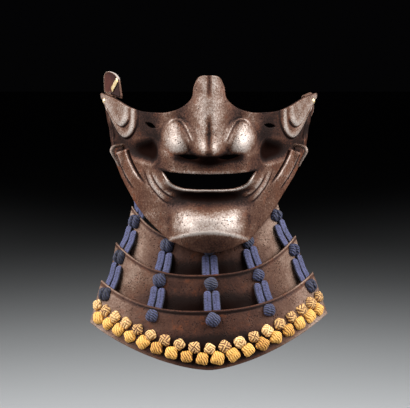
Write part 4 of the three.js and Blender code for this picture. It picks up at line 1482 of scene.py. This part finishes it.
@dataclass
class LamePlate:
    """Wall of a lame: a closed section carried round the bend, with a rolled top rim."""

    lame: Lame
    wall: float = 1.2
    columns: int = 150
    rows: int = 26
    edge_steps: int = 4
    end_round: float = 0.8
    rim_roll: float = 0.35
    rim_width: float = 0.9

    def build(self) -> None:
        """Make the lame and dress it.

        The section runs down the outer face, round the foot, up the inner face and over the rolled
        top rim. At each end of the bend it closes on the middle of the wall. The outer face is worn at
        its top edge and foot, lighter towards its sides with painted side light, darker in the middle
        above the foot with painted shade, and has a line of painted shade under the rolled rim.
        """
        span = self.lame.span
        angle = np.concatenate([[-span], np.linspace(-span, span, self.columns), [span]])
        share = np.linspace(0.0, 1.0, self.rows)
        outer = np.stack([share, np.zeros(self.rows)], axis=-1)
        inner = np.stack([share[::-1], np.ones(self.rows)], axis=-1)
        turn = np.linspace(0.0, np.pi, self.edge_steps + 2)[1:-1]
        foot = np.stack([np.ones_like(turn), 0.5 - 0.5 * np.cos(turn)], axis=-1)
        head = np.stack([np.zeros_like(turn), 0.5 + 0.5 * np.cos(turn)], axis=-1)
        section = np.concatenate([outer, foot, inner, head])
        past = np.concatenate([np.zeros(self.rows), np.sin(turn), np.zeros(self.rows), -np.sin(turn)])

        height = self.lame.height(angle)[:, None]
        drop = section[:, 0] * height + past * self.wall / 2.0
        rim = self.rim_roll * bell(drop - 0.4, self.rim_width)
        dip = 0.3 * bell(drop - 2.0, 0.8)
        wave = np.sin(angle[:, None] * 41.0 + drop / 4.0) * np.sin(drop / 3.3 - angle[:, None] * 23.0)
        face = 1.0 - section[:, 1]
        out = -section[:, 1] * self.wall + face * (rim - dip + 0.09 * wave)
        closing = np.ones(len(angle))
        closing[[0, -1]] = 0.0
        out = -self.wall / 2.0 + (out + self.wall / 2.0) * closing[:, None]
        station = self.lame.stations(angle[:, None], drop, out)
        push = np.zeros(len(angle))
        push[0], push[-1] = -self.end_round, self.end_round
        points = station.place + station.across * push[:, None, None]
        faces = grid_quads(len(angle), len(section))
        inside = (section[faces % len(section)][:, :, 1].mean(1) > 0.9).astype(int)
        worn = bell(drop - 0.1, 0.8) * 0.05 + bell(drop - height, 1.0) * 0.2
        # Painted side light: lighter towards the ends of the bend, which face the side lamps.
        painted_side_light = 0.62 * smoothstep(0.22, 0.85, np.abs(np.sin(angle)))[:, None] - 0.12
        # Painted shade in the middle, low on the lame, where the next lame's rim stands in front.
        soot_and_painted_shade = bell(angle, 0.48)[:, None] * smoothstep(0.32, 0.72, drop / height)
        soot_and_painted_shade = soot_and_painted_shade * smoothstep(1.0, 0.86, drop / height)
        # The line just under the rolled rim is painted shade.
        stand = (worn + painted_side_light - soot_and_painted_shade - 0.95 * bell(drop - 1.9, 0.7)) * face
        rust = 0.5 * bell(angle, 0.4)[:, None] * face
        bundle = Bundle()
        bundle.add(points, faces, finish=inside, stand=stand.ravel(), rust=rust.ravel())
        piece = bundle.piece(self.lame.node.replace("throat_lame", "lame"))
        dress(piece, Body.GUARD, [LAME_IRON, LACQUER], [self.lame.node])


@dataclass
class WoundKnots:
    """Domed knots of wound silk: a dome whose surface follows slanted turns of thread."""

    radius: float
    height: float
    turn_width: float
    slant: float
    ridge: float
    cleft: float
    lobes: float
    rings: int = 15
    sides: int = 44
    foot: float = 0.35
    last_ring: float = math.pi * 0.56
    crossed: bool = False

    def add_to(self, bundle: Bundle, frames: Frame, seed: int) -> None:
        """Add one knot at each place of a field.

        Height over the plate is a quarter ellipse of the radius, plus a cosine over the turns, less
        a cleft down the middle. The outline swells and shrinks with the lobes.

        Args:
            bundle: mesh that the knots go into.
            frames: places, each with across, along and out.
            seed: start of the random draws.
        """
        draw = np.random.default_rng(seed)
        count = len(frames.place)
        jitter = lambda low, high: draw.uniform(low, high, (count, 1, 1))
        size, twist, phase, bright = jitter(0.93, 1.07), jitter(-0.25, 0.25), jitter(0, 6.28), jitter(0, 1)
        lean = jitter(-0.12, 0.12)
        polar = np.linspace(0.0, self.last_ring, self.rings)
        polar = np.concatenate([polar, [self.last_ring]])[None, :, None]
        turn = np.linspace(0.0, 2.0 * np.pi, self.sides, endpoint=False)[None, None, :]
        outline = 1.0 + self.lobes * np.cos(4.0 * turn + phase)
        outline = outline + 0.5 * self.lobes * np.cos(3.0 * turn - phase)
        reach = np.sin(polar) ** 0.9 * self.radius * size * outline
        reach = reach * np.concatenate([np.ones(self.rings), [0.0]])[None, :, None]
        a, b = reach * np.cos(turn), reach * np.sin(turn)
        angle = self.slant + twist
        over = a * np.cos(angle) + b * np.sin(angle)
        under = a * np.sin(angle) - b * np.cos(angle) + 0.12 * self.turn_width * np.sin(1.3 * over + phase)
        wave = np.cos(2.0 * np.pi * under / self.turn_width + phase)
        if self.crossed:
            other = np.cos(2.0 * np.pi * over / self.turn_width + phase)
            wave = np.where(np.sin(turn * 2.0 + 2.0 * phase) > 0.0, wave, other)
        rise = self.height * np.maximum(np.cos(polar), -0.2) + self.foot
        swell = np.sin(np.minimum(polar, np.pi / 2)) * 0.5 + 0.5
        rise = rise + self.ridge * wave * swell * (polar < 1.7)
        rise = rise - self.cleft * bell(a, 0.16 * self.radius) * (polar < 1.5) + lean * a
        rise = np.maximum(rise, 0.12)
        points = frames.at(a, b, rise)
        thread = (0.5 + 0.5 * wave) * np.ones_like(a)
        shade = bright * np.ones_like(a)
        block = (self.rings + 1) * self.sides
        faces = grid_quads(self.rings + 1, self.sides)
        every = (faces[None] + np.arange(count)[:, None, None] * block).reshape(-1, 4)
        bundle.add(points, every, thread=thread.ravel(), shade=shade.ravel())


@dataclass
class Lacing:
    """Blue silk lacing: five columns, each a pair of flat braids with a knot on every lame."""

    columns: tuple[tuple[str, float, float], ...] = (
        ("lacing_far_left", -55.5, 2.5), ("lacing_left", -26.5, 4.0), ("lacing_centre", 2.0, 9.0),
        ("lacing_right", 28.8, 4.0), ("lacing_far_right", 56.0, 2.5),
    )
    half_width: float = 3.0
    half_thick: float = 1.05
    spacing: float = 3.25
    tuck: float = 1.5
    lift: float = 1.25
    back: float = -2.45
    knot_drop: float = 6.5
    start: float = 11.6
    lead: float = 3.0
    stitch: float = 1.2
    section_sides: int = 26
    step: float = 0.28
    taper: float = 3.4
    first_seed: int = 40
    form: FaceForm = field(default_factory=FaceForm)

    def section(self) -> Array:
        """Flat section with round edges: an ellipse squared by powers of its cosine and sine.

        Returns:
            Shares of the half width and half thickness, one point a row.
        """
        turn = np.linspace(0.0, 2.0 * np.pi, self.section_sides, endpoint=False)
        across = np.sign(np.cos(turn)) * np.abs(np.cos(turn)) ** 0.62
        above = np.sign(np.sin(turn)) * np.abs(np.sin(turn)) ** 0.80
        return np.stack([across, above], axis=-1)

    def braid(self, bundle: Bundle, stations: Sequence[Frame], slip: float) -> None:
        """Add a braid along stations.

        The route is a smooth curve through them. The section shrinks to a point as a quarter ellipse
        at both ends, is grooved down its middle and rises and falls with the slanted stitches.

        Args:
            bundle: mesh that the braid goes into.
            stations: single places along the route.
            slip: shift of the stitches along the braid.
        """
        keys = np.stack([s.place for s in stations])
        chord = chord_lengths(keys)
        count = int(chord[-1] / self.step) + 2
        place = smooth_path(keys, count)
        at = np.linspace(0.0, chord[-1], count)
        read = lambda column: np.interp(at, chord, column)
        turn = lambda parts: unit(np.stack([read(column) for column in np.stack(parts).T], axis=-1))
        across, out = turn([s.across for s in stations]), turn([s.out for s in stations])
        square = np.cross(across, unit(np.gradient(place, axis=0)))
        out = unit(square) * np.sign((square * out).sum(-1, keepdims=True))
        section = self.section()
        near = np.minimum(at, chord[-1] - at)
        taper = np.sqrt(np.clip(1.0 - (1.0 - np.minimum(near / self.taper, 1.0)) ** 2, 0.0, 1.0))[:, None]
        slant = 2.0 * np.pi * (at[:, None] + slip) / self.stitch + np.abs(section[:, 0]) * 4.0
        wave = np.sin(slant)
        groove = 0.08 * bell(section[:, 0], 0.18)
        thick = self.half_thick * (1.0 - groove) * (1.0 + 0.07 * wave)
        wide = self.half_width * (1.0 + 0.02 * wave)
        a = section[:, 0] * wide * taper
        c = section[:, 1] * thick * taper
        points = place[:, None] + across[:, None] * a[..., None] + out[:, None] * c[..., None]
        cloth = np.stack(np.broadcast_arrays(section[:, 0], at[:, None] + slip), axis=-1)
        bundle.add(points, grid_quads(count, self.section_sides)[:, ::-1], cloth)

    def foot(self, lame: Lame, angle: float, offset: float) -> list[Frame]:
        """End of a braid behind a lame: down past its top edge and on to the knot's hole.

        Args:
            lame: lame that the braid ends behind.
            angle: place of the column round the bend.
            offset: distance of the braid from the column's middle.

        Returns:
            Stations in order.
        """
        past = angle + offset / lame.top.radius
        hole = angle + math.copysign(self.tuck, offset) / lame.top.radius
        return [
            lame.stations(past, -self.lead, self.back - 0.4),
            lame.stations(past, self.lead / 2.0, self.back),
            lame.stations(hole, self.knot_drop + 1.0, self.back),
        ]

    def between(self, upper: Lame, lower: Lame, angle: float, offset: float) -> list[Frame]:
        """Stations of a braid from the front of one lame to the back of the next.

        Args:
            upper: lame whose front the braid lies on.
            lower: lame that it goes behind.
            angle: place of the column round the bend.
            offset: distance of the braid from the column's middle.

        Returns:
            Stations in order.
        """
        turn = angle + offset / upper.bottom.radius
        goal = lower.edge_points(lower.top, np.array(angle + offset / lower.top.radius))[2]
        top = upper.edge_points(upper.top, np.array(turn))[2]
        foot = upper.edge_points(upper.bottom, np.array(turn))[2]
        leave = float(upper.height(np.array(turn))) * (top - goal) / (top - foot) - 2.0 * self.lead
        first = upper.stations(turn, self.start, self.lift - 0.5)
        second = upper.stations(turn, self.start + 2.0, self.lift + 0.4)
        third = upper.stations(turn, leave, self.lift + 1.5)
        return [first, second, third, *self.foot(lower, angle, offset)[1:]]

    def from_jaw(self, angle: float, offset: float, anchor: float, plate: FacePlate) -> list[Frame]:
        """Stations of a braid from inside the jaw to the back of the top lame.

        Args:
            angle: place of the column round the bend.
            offset: distance of the braid from the column's middle.
            anchor: distance of the lower station above the jaw's edge.
            plate: face plate that the upper end lies against.

        Returns:
            Stations in order.
        """
        feet = self.foot(LAMES[0], angle, offset)
        side = math.copysign(1.0, feet[0].place[0])
        share = np.linspace(0.0, 1.0, 101)
        chin_x, chin_z = plate.rib_line(1, share)
        rib = int(np.argmax(chin_x >= abs(feet[0].place[0])))
        lip_x, lip_z = plate.rib_line(3, share)
        ends = np.array([[chin_x[rib], chin_z[rib]], [lip_x[rib], lip_z[rib]]])
        depth = self.form.depth(ends[:, 0], ends[:, 1])
        height = np.linalg.norm(np.diff(np.column_stack([ends, depth]), axis=0))
        reach = np.clip((share[rib] - plate.spread_from) / (1.0 - plate.spread_from), 0.0, 1.0)
        made = []
        for distance in (anchor + 5.0, anchor):
            v = distance / height
            x, z = ends[0] + (ends[1] - ends[0]) * v
            x = x + (plate.spread_width * math.sin(math.pi * reach) * (1.0 - v) if side < 0 else 0.0)
            point, out = self.form.place(Side(int(side)), float(x), float(z))
            down = unit(np.array([0.0, 0.0, -1.0]) + out * out[2])
            place = point - out * (plate.wall + self.lift + 0.4)
            made.append(Frame(place, np.cross(out, down), down, out))
        return [*made, *feet]

    def build(self, plate: FacePlate) -> None:
        """Make each column's braids and knots and dress them.

        Args:
            plate: face plate that the upper ends lie against.
        """
        knots = WoundKnots(
            radius=5.2, height=3.9, turn_width=1.75, slant=0.62, ridge=0.26, cleft=0.5, lobes=0.05,
        )
        paired = WoundKnots(
            radius=5.4, height=3.9, turn_width=1.75, slant=0.9, ridge=0.24, cleft=1.7, lobes=0.07,
        )
        for number, (node, degrees, anchor) in enumerate(self.columns):
            angle = math.radians(degrees)
            braids = Bundle()
            for offset in (-self.spacing, self.spacing):
                routes = [
                    self.from_jaw(angle, offset, anchor, plate),
                    self.between(LAMES[0], LAMES[1], angle, offset),
                    self.between(LAMES[1], LAMES[2], angle, offset),
                ]
                for order, route in enumerate(routes):
                    self.braid(braids, route, 0.37 * order + 0.11 * offset)
            label = node.replace("lacing_", "")
            dress(braids.piece(f"braid_{label}"), Body.GUARD, [BRAID], [node])
            heads = Bundle()
            places = [lame.stations(angle, self.knot_drop, 0.0) for lame in LAMES]
            form = paired if "far" in node else knots
            form.add_to(heads, Frame.gathered(places), self.first_seed + number)
            dress(heads.piece(f"knot_{label}"), Body.GUARD, [BLUE_KNOT])


@dataclass
class GoldKnots:
    """Two staggered rows of gold silk knots along the foot of the bottom lame, with their threads."""

    step: float = math.radians(6.51)
    wall: float = 1.2
    thread_radius: float = 0.62
    thread_sides: int = 10

    def row(self, node: str, count: int, rise: float, knots: WoundKnots, finish: Finish, seed: int) -> None:
        """Make one row and the flat thread that joins it behind the lame.

        Args:
            node: CAD node that the row stands for.
            count: number of knots.
            rise: distance of the row above the lame's foot.
            knots: form of the knots.
            finish: silk of the row.
            seed: start of the random draws.
        """
        lame = LAMES[2]
        angle = (np.arange(count) - (count - 1) / 2.0) * self.step
        bundle = Bundle()
        knots.add_to(bundle, lame.stations(angle, lame.height(angle) - rise, 0.0), seed)
        fine = np.linspace(angle[0], angle[-1], 6 * count)
        wander = 0.25 * np.sin(fine * 90.0)
        thread = lame.stations(fine, lame.height(fine) - rise + wander, -self.wall - 0.85).place
        ends = np.minimum(np.arange(len(fine)), np.arange(len(fine))[::-1])
        radius = self.thread_radius * np.sqrt(np.minimum(ends / 2.0, 1.0))
        sides = self.thread_sides
        twist = np.sin(np.arange(len(fine))[:, None] * 2.1 + np.arange(sides) * 0.63) * 0.5 + 0.5
        faces = grid_quads(len(fine), sides)
        bundle.add(tube(thread, radius, sides), faces, thread=twist.ravel(), shade=0.5)
        label = node.replace("gold_knots_", "")
        dress(bundle.piece(f"gold_row_{label}"), Body.GUARD, [finish], [node])

    def build(self) -> None:
        """Make both rows."""
        upper = WoundKnots(
            radius=4.5, height=3.4, turn_width=1.9, slant=0.5, ridge=0.40, cleft=0.3, lobes=0.07,
            rings=12, sides=36, crossed=True,
        )
        lower = WoundKnots(
            radius=5.0, height=3.8, turn_width=1.7, slant=1.1, ridge=0.36, cleft=0.2, lobes=0.09,
            rings=12, sides=40,
        )
        self.row("gold_knots_upper", 19, 15.2, upper, CREAM_KNOT, 71)
        self.row("gold_knots_lower", 18, 7.6, lower, GOLD_KNOT, 72)


# Fittings


@dataclass
class CordHooks:
    """Bent rods on the jaw, tapered to a blunt point."""

    x: float = 67.5
    z: float = 56.0
    radius: float = 1.4
    reach: float = 10.0
    inside: float = 1.2
    sag: float = 2.6
    tail: tuple[float, float, float] = (-6.5, 2.0, -13.5)
    wall: float = 1.6
    steps: int = 90
    sides: int = 20

    def build(self, form: FaceForm) -> None:
        """Make both hooks.

        Args:
            form: form of the face that they stand on.
        """
        for side in Side:
            point, axis = form.place(side, self.x, self.z)
            out = lambda distance, fall: point + axis * distance - np.array([0.0, 0.0, fall])
            bend = out(self.reach, self.sag)
            end = bend + np.array([side.value * self.tail[0], self.tail[1], self.tail[2]])
            keys = np.stack([
                out(-self.wall - self.inside, 0.0), out(self.wall, 0.0),
                out(self.reach * 0.8, self.sag * 0.5),
                bend + (end - bend) * 0.12, bend + (end - bend) * 0.55, end,
            ])
            route = smooth_path(keys, self.steps)
            share = np.linspace(0.0, 1.0, self.steps)
            slim = 1.0 - 0.35 * smoothstep(0.45, 1.0, share)
            close = np.sqrt(np.clip(np.minimum(share, 1.0 - share) / 0.02, 0.0, 1.0))
            bundle = Bundle()
            rod = tube(route, self.radius * slim * close, self.sides)
            worn = 0.20 + 0.3 * smoothstep(0.2, 0.5, share)
            bundle.add(rod, grid_quads(self.steps, self.sides), stand=np.repeat(worn, self.sides))
            piece = bundle.piece(f"hook_{side.label}")
            dress(piece, Body.GUARD, [IRON], [f"cord_hook_{side.label}"])


@dataclass
class EarRivets:
    """Gilt dome rivets below the flap hinges, each on a thin washer."""

    x: float = 81.5
    z: float = 89.5
    radius: float = 2.6
    height: float = 2.4
    sides: int = 40

    def build(self, form: FaceForm) -> None:
        """Make both rivets.

        Args:
            form: form of the face that they stand on.
        """
        arc = np.linspace(0.0, np.pi / 2.0, 10)
        dome_radius, dome_height = self.radius * 0.86, self.height - 0.35
        dome = np.stack([dome_radius * np.cos(arc), 0.75 + dome_height * np.sin(arc)], axis=-1)
        shank = [(0.0, -2.2), (0.85, -2.15), (1.0, -2.0), (1.0, 0.2)]
        washer = [(2.5, 0.2), (self.radius, 0.32), (self.radius, 0.55), (2.45, 0.7)]
        profile = np.concatenate([np.array(shank), np.array(washer), dome])
        for side in Side:
            point, axis = form.place(side, self.x, self.z)
            bundle = Bundle()
            bundle.add(turned(profile, self.sides, point, axis), grid_quads(len(profile), self.sides))
            piece = bundle.piece(f"rivet_{side.label}")
            dress(piece, Body.GUARD, [GILT], [f"ear_rivet_{side.label}"])


@dataclass
class EarFlap:
    """Fan-shaped flap hinged on the inside of the cheek's rear end, just below the upper rim."""

    side: Side
    fold: float
    form: FaceForm = field(default_factory=FaceForm)
    wall: float = 1.6
    front_x: float = 79.0
    rear_x: float = 85.0
    rim: tuple[tuple[float, float], ...] = ((73.0, 91.5), (85.0, 95.0))
    above: float = -1.2
    inset: float = 3.4
    barrel: float = 2.1
    bore: float = 1.25
    pin: float = 0.85
    gap: float = 0.4
    thickness: float = 1.4
    lean: float = math.radians(3.0)
    front: tuple[float, float] = (-8.5, 15.9)
    rear_flare: float = 9.0
    web: tuple[float, float] = (-16.5, 2.0)
    shoulder: float = 12.4
    top: float = 19.4
    strip_ends: tuple[tuple[float, float], ...] = ((2.3, 5.8), (-7.6, 15.6))
    strip_half: float = 2.2
    edge_points: int = 240
    barrel_sides: int = 28
    pin_sides: int = 24

    def hinge(self) -> tuple[Array, Array, Array, Array, float, float]:
        """Line of the hinge, from the cheek's rim moved inwards and down.

        Returns:
            Origin, directions along, across and up, length, and the sign of inwards on across.
        """
        (x0, z0), (x1, z1) = self.rim
        ends = np.array([self.front_x, self.rear_x])
        heights = z0 + (ends - x0) * (z1 - z0) / (x1 - x0)
        points = np.stack([self.side.value * ends, self.form.depth(ends, heights), heights], axis=-1)
        along = unit(points[1] - points[0])
        up = unit(np.array([0.0, 0.0, 1.0]) - along * along[2])
        across = np.cross(up, along)
        inward = across * -self.side.value * np.sign(across[0])
        origin = points[0] + inward * (self.wall / 2.0 + self.inset) + up * self.above
        length = float(np.linalg.norm(points[1] - points[0]))
        return origin, along, across, up, length, float(np.sign(inward @ across))

    def frame(self, folded: bool) -> Frame:
        """Frame on the hinge.

        Args:
            folded: whether it swings with the flap.

        Returns:
            One place, with across along the pin, along up the flap and out square to it.
        """
        origin, along, across, up, _, inward = self.hinge()
        angle = -inward * (self.lean + self.fold) if folded else 0.0
        cos, sin = math.cos(angle), math.sin(angle)
        rise, away = up * cos - across * sin, across * cos + up * sin
        return Frame(origin[None], along[None], rise[None], away[None])

    def outline(self, length: float) -> Array:
        """Fan-shaped outline, notched for the cheek's knuckle. Its top is two quadratic curves.

        Args:
            length: length of the hinge.

        Returns:
            Distances along the pin and up from it, one point a row.
        """
        third = length / 3.0
        rear = self.rear_flare
        bow = np.linspace(0.0, 1.0, 30)[:, None]
        weights = ((1 - bow) ** 2, 2 * bow * (1 - bow), bow**2)
        curve = lambda *keys: sum(weight * np.array(key) for weight, key in zip(weights, keys))
        left = curve(self.front, (self.front[0] * 0.4, self.top), (length / 2.0, self.top))
        right = curve((length / 2.0, self.top), (length + rear, self.top), (length + rear, self.shoulder))
        web_x, web_z = self.web
        foot = np.array([
            (length + 5.0, 1.6), (2 * third + self.gap, 1.6),
            (2 * third + self.gap, 2.9), (third - self.gap, 2.9), (third - self.gap, 1.6), (-self.gap, 1.6),
            (-3.0, web_z), (web_x, web_z), (web_x, web_z + 2.4), self.front,
        ])
        return np.concatenate([left, right[1:], foot])

    def plate(self, bundle: Bundle, length: float) -> None:
        """Add the flap's plate: rings that shrink to its middle, with a raised border and a round rim.

        Args:
            bundle: mesh that the plate goes into.
            length: length of the hinge.
        """
        loop = self.outline(length)
        chord = chord_lengths(loop)
        at = np.linspace(0.0, chord[-1], self.edge_points, endpoint=False)
        edge = np.stack([np.interp(at, chord, loop[:, k]) for k in range(2)], axis=-1)
        middle = np.array([length / 2.0, 11.4])
        half = self.thickness / 2.0
        inner = np.array([0.0, 0.3, 0.6, 0.8, 0.86, 0.9, 0.94, 0.975])
        border = 0.32 * smoothstep(0.84, 0.90, inner)
        turn = np.linspace(0.0, np.pi, 9)
        round_scale = 0.975 + 0.025 * np.sin(turn)
        scale = np.concatenate([inner, round_scale[1:-1], inner[::-1]])
        face = half - 0.15 + border
        out = np.concatenate([face, (half + 0.17) * np.cos(turn)[1:-1], -face[::-1]])
        flat = middle + (edge - middle) * scale[:, None, None]
        out = np.broadcast_to(out[:, None], flat.shape[:2])
        grid = self.frame(True).at(flat[None, ..., 0], flat[None, ..., 1], out[None])
        low, high = np.array(self.strip_ends)
        ahead = ((flat - low) * np.array([low[1] - high[1], high[0] - low[0]])).sum(-1)
        # Worn rim, less painted shade on the plate ahead of the gilt strip.
        worn = np.clip(smoothstep(0.93, 1.0, scale), 0.0, 1.0)[:, None] - 0.8 * (ahead > 0.0)
        faces = grid_quads(len(scale), len(edge))
        inside = np.where(scale[(faces // len(edge)).min(1)] < 0.84, 1, 0)
        bundle.add(grid, faces, finish=inside, stand=worn.ravel())

    def knuckle(self, bundle: Bundle, first: float, last: float, frame_at: Frame) -> None:
        """Add a bored barrel with rounded edges.

        Args:
            bundle: mesh that the barrel goes into.
            first: distance along the pin where it starts.
            last: distance where it ends.
            frame_at: frame of the hinge.
        """
        soft = 0.25
        profile = np.array([
            (self.bore, first + soft), (self.bore + soft, first), (self.barrel - soft, first),
            (self.barrel, first + soft), (self.barrel, last - soft), (self.barrel - soft, last),
            (self.bore + soft, last), (self.bore, last - soft), (self.bore, first + soft),
        ])
        ring = turned(profile, self.barrel_sides, frame_at.place[0], frame_at.across[0])
        bundle.add(ring, grid_quads(len(profile), self.barrel_sides), stand=0.1)

    def tab(self, bundle: Bundle, first: float, last: float, inward: float) -> None:
        """Add the tab that carries the cheek's knuckle: a bent strip from the plate's rim to the barrel.

        Args:
            bundle: mesh that the tab goes into.
            first: distance along the pin where it starts.
            last: distance where it ends.
            inward: sign of inwards on the hinge's across.
        """
        grip, half = self.wall / 4.0, self.barrel * 0.45
        inside = (self.bore + self.barrel) / 2.0
        root = -self.above - 2.2
        corners = np.array([
            (self.inset + grip, root), (self.inset + grip, half), (inside, half), (inside, -half),
            (self.inset - grip, -half), (self.inset - grip, root),
        ])
        along = np.array([first, first, last, last])[:, None]
        shrink = np.array([0.0, 1.0, 1.0, 0.0])[:, None, None]
        middle = corners.mean(0)
        ring = middle + (corners - middle) * shrink
        across = -inward * ring[..., 0]
        grid = self.frame(False).at(
            np.broadcast_to(along, across.shape)[None], ring[None, ..., 1], across[None],
        )
        faces = grid_quads(4, len(corners))
        faces = faces[:, ::-1] if inward > 0 else faces
        bundle.add(grid, faces, stand=0.1)

    def strip(self) -> Bundle:
        """Gilt strip slanting over the outer face: a rounded square section along a straight line.

        Returns:
            The strip in one bundle.
        """
        start, stop = np.array(self.strip_ends)
        along = unit(stop - start)
        beside = np.array([-along[1], along[0]])
        middle = (start + stop) / 2.0
        turn = np.linspace(0.0, 2.0 * np.pi, 24, endpoint=False)
        square = lambda value: np.sign(value) * np.abs(value) ** 0.35
        share = np.linspace(-1.0, 1.0, 41)
        close = np.clip((1.0 - np.abs(share)) / 0.03, 0.0, 1.0) ** 0.35
        ribbed = 1.0 + 0.03 * np.sin(share * 40.0)
        wide = square(np.cos(turn)) * self.strip_half * close[:, None] * ribbed[:, None]
        outward = -self.hinge()[5] * (self.thickness / 2.0 + 0.5)
        thick = outward + square(np.sin(turn)) * 0.5 * close[:, None]
        reach = np.linalg.norm(stop - start) / 2.0
        flat = middle + along * (share * reach)[:, None, None] + beside * wide[..., None]
        grid = self.frame(True).at(flat[None, ..., 0], flat[None, ..., 1], thick[None])
        bundle = Bundle()
        bundle.add(grid, grid_quads(len(share), len(turn)))
        return bundle

    def build(self) -> None:
        """Make the flap, its gilt strip, the cheek's knuckle and the pin, and dress them."""
        label = self.side.label
        body = Body.LEFT_FLAP if self.side is Side.LEFT else Body.RIGHT_FLAP
        origin, along, _, _, length, inward = self.hinge()
        third, half = length / 3.0, self.gap / 2.0
        flap = Bundle()
        self.plate(flap, length)
        self.knuckle(flap, half, third - half, self.frame(True))
        self.knuckle(flap, 2 * third + half, length - half, self.frame(True))
        dress(flap.piece(f"flap_{label}"), body, [IRON, LACQUER], [f"ear_flap_{label}"])
        strip = self.strip().piece(f"flap_gilding_{label}")
        dress(strip, body, [GILT], [f"flap_edge_{label}"])
        cheek = Bundle()
        self.knuckle(cheek, third + half, 2 * third - half, self.frame(False))
        self.tab(cheek, third + half, 2 * third - half, inward)
        dress(cheek.piece(f"knuckle_{label}"), Body.GUARD, [IRON])
        arc = np.linspace(0.0, np.pi / 2.0, 6)
        cap = np.stack([self.pin * np.sin(arc), 0.35 - 0.35 * np.cos(arc)], axis=-1)
        profile = np.concatenate([cap, np.column_stack([cap[::-1, 0], length - cap[::-1, 1]])])
        pin = Bundle()
        rod = turned(profile, self.pin_sides, origin, along)
        pin.add(rod, grid_quads(len(profile), self.pin_sides), stand=0.1)
        dress(pin.piece(f"pin_{label}"), Body.GUARD, [IRON], [f"hinge_pin_{label}"])


# Stage


@dataclass(frozen=True)
class Lamp:
    """Soft light that faces the guard, from degrees to the right of the camera and above the horizon.

    Reach and size are in metres, power in watts.
    """

    name: str
    azimuth: float
    height: float
    reach: float
    size: tuple[float, float]
    power: float
    spread: float = math.radians(100.0)

    def build(self) -> None:
        """Make the light and put it into the scene."""
        light = bpy.data.lights.new(self.name, "AREA")
        light.shape = "RECTANGLE"
        light.size, light.size_y = self.size
        light.energy = self.power
        light.spread = self.spread
        made = bpy.data.objects.new(self.name, light)
        a, h = math.radians(self.azimuth), math.radians(self.height)
        level = self.reach * math.cos(h)
        made.location = (level * math.sin(a), -level * math.cos(a), self.reach * math.sin(h))
        made.rotation_euler = (math.pi / 2.0 - h, 0.0, a)
        bpy.context.scene.collection.objects.link(made)


@dataclass
class Studio:
    """Pale floor, soft lights and the camera at the photograph's angle."""

    image_width: float = 410.0
    focal_pixels: float = 1733.3
    target: tuple[float, float, float] = (-3.0, 0.0, 16.0)
    elevation: float = math.radians(6.0)
    distance: float = 1300.0
    sensor: float = 36.0
    floor_z: float = -260.0
    floor_half: float = 9000.0
    floor_tones: tuple[Colour, Colour] = ((0.28, 0.288, 0.295), (0.31, 0.318, 0.325))
    ambient: Colour = (0.0012, 0.0012, 0.0014)
    lamps: tuple[Lamp, ...] = (
        Lamp("left_box", -76.0, 36.0, 1.1, (0.9, 0.9), 13.0),
        Lamp("right_box", 76.0, 36.0, 1.1, (0.9, 0.9), 13.0),
        Lamp("top_fill", 0.0, 62.0, 1.3, (0.8, 0.4), 1.0),
        Lamp("back_fill", 180.0, 40.0, 1.6, (1.0, 1.0), 0.7),
    )

    def camera(self) -> None:
        """Long lens in front, a little above, looking along +Y."""
        lens = bpy.data.cameras.new("photo_camera")
        lens.sensor_width = self.sensor
        lens.lens = self.focal_pixels * self.sensor / self.image_width
        lens.clip_end = 100.0
        eye = bpy.data.objects.new("photo_camera", lens)
        x, y, z = self.target
        back, rise = self.distance * math.cos(self.elevation), self.distance * math.sin(self.elevation)
        eye.location = (x * MM, (y - back) * MM, (z + rise) * MM)
        eye.rotation_euler = (math.pi / 2.0 - self.elevation, 0.0, 0.0)
        bpy.context.scene.collection.objects.link(eye)
        bpy.context.scene.camera = eye

    def floor(self) -> None:
        """Plain pale floor."""
        half = self.floor_half
        side = np.array([-half, half])
        x, y = np.meshgrid(side, side)
        bundle = Bundle()
        bundle.add(np.stack([x, y, np.full_like(x, self.floor_z)], axis=-1), grid_quads(2, 2, wrap=False))
        floor = bundle.piece("floor")
        desk = Desk("pale_floor")
        tone = desk.noise(400.0, 2.0)
        colour = desk.blend(*self.floor_tones, tone)
        floor.data.materials.append(desk.finish(Base_Color=colour, Roughness=0.9))

    def lights(self) -> None:
        """Two side boxes, weak fills from the top and the back, and a dim surround."""
        for lamp in self.lamps:
            lamp.build()
        world = bpy.data.worlds.new("studio")
        world.use_nodes = True
        shade = world.node_tree.nodes["Background"]
        shade.inputs["Color"].default_value = (*self.ambient, 1.0)
        shade.inputs["Strength"].default_value = 1.0
        bpy.context.scene.world = world

    def build(self) -> None:
        """Set up the whole stage."""
        self.camera()
        self.floor()
        self.lights()
        bpy.context.scene.view_settings.view_transform = "Standard"


def main() -> None:
    """Build the stage and every sub-assembly in order."""
    logging.basicConfig(level=logging.INFO, format="%(message)s")
    Studio().build()
    plate = FacePlate()
    plate.build()
    for lame in LAMES:
        LamePlate(lame).build()
    Lacing().build(plate)
    GoldKnots().build()
    CordHooks().build(plate.form)
    EarRivets().build(plate.form)
    EarFlap(Side.LEFT, fold=0.0).build()
    EarFlap(Side.RIGHT, fold=math.radians(170.0)).build()


if __name__ == "__main__":
    main()
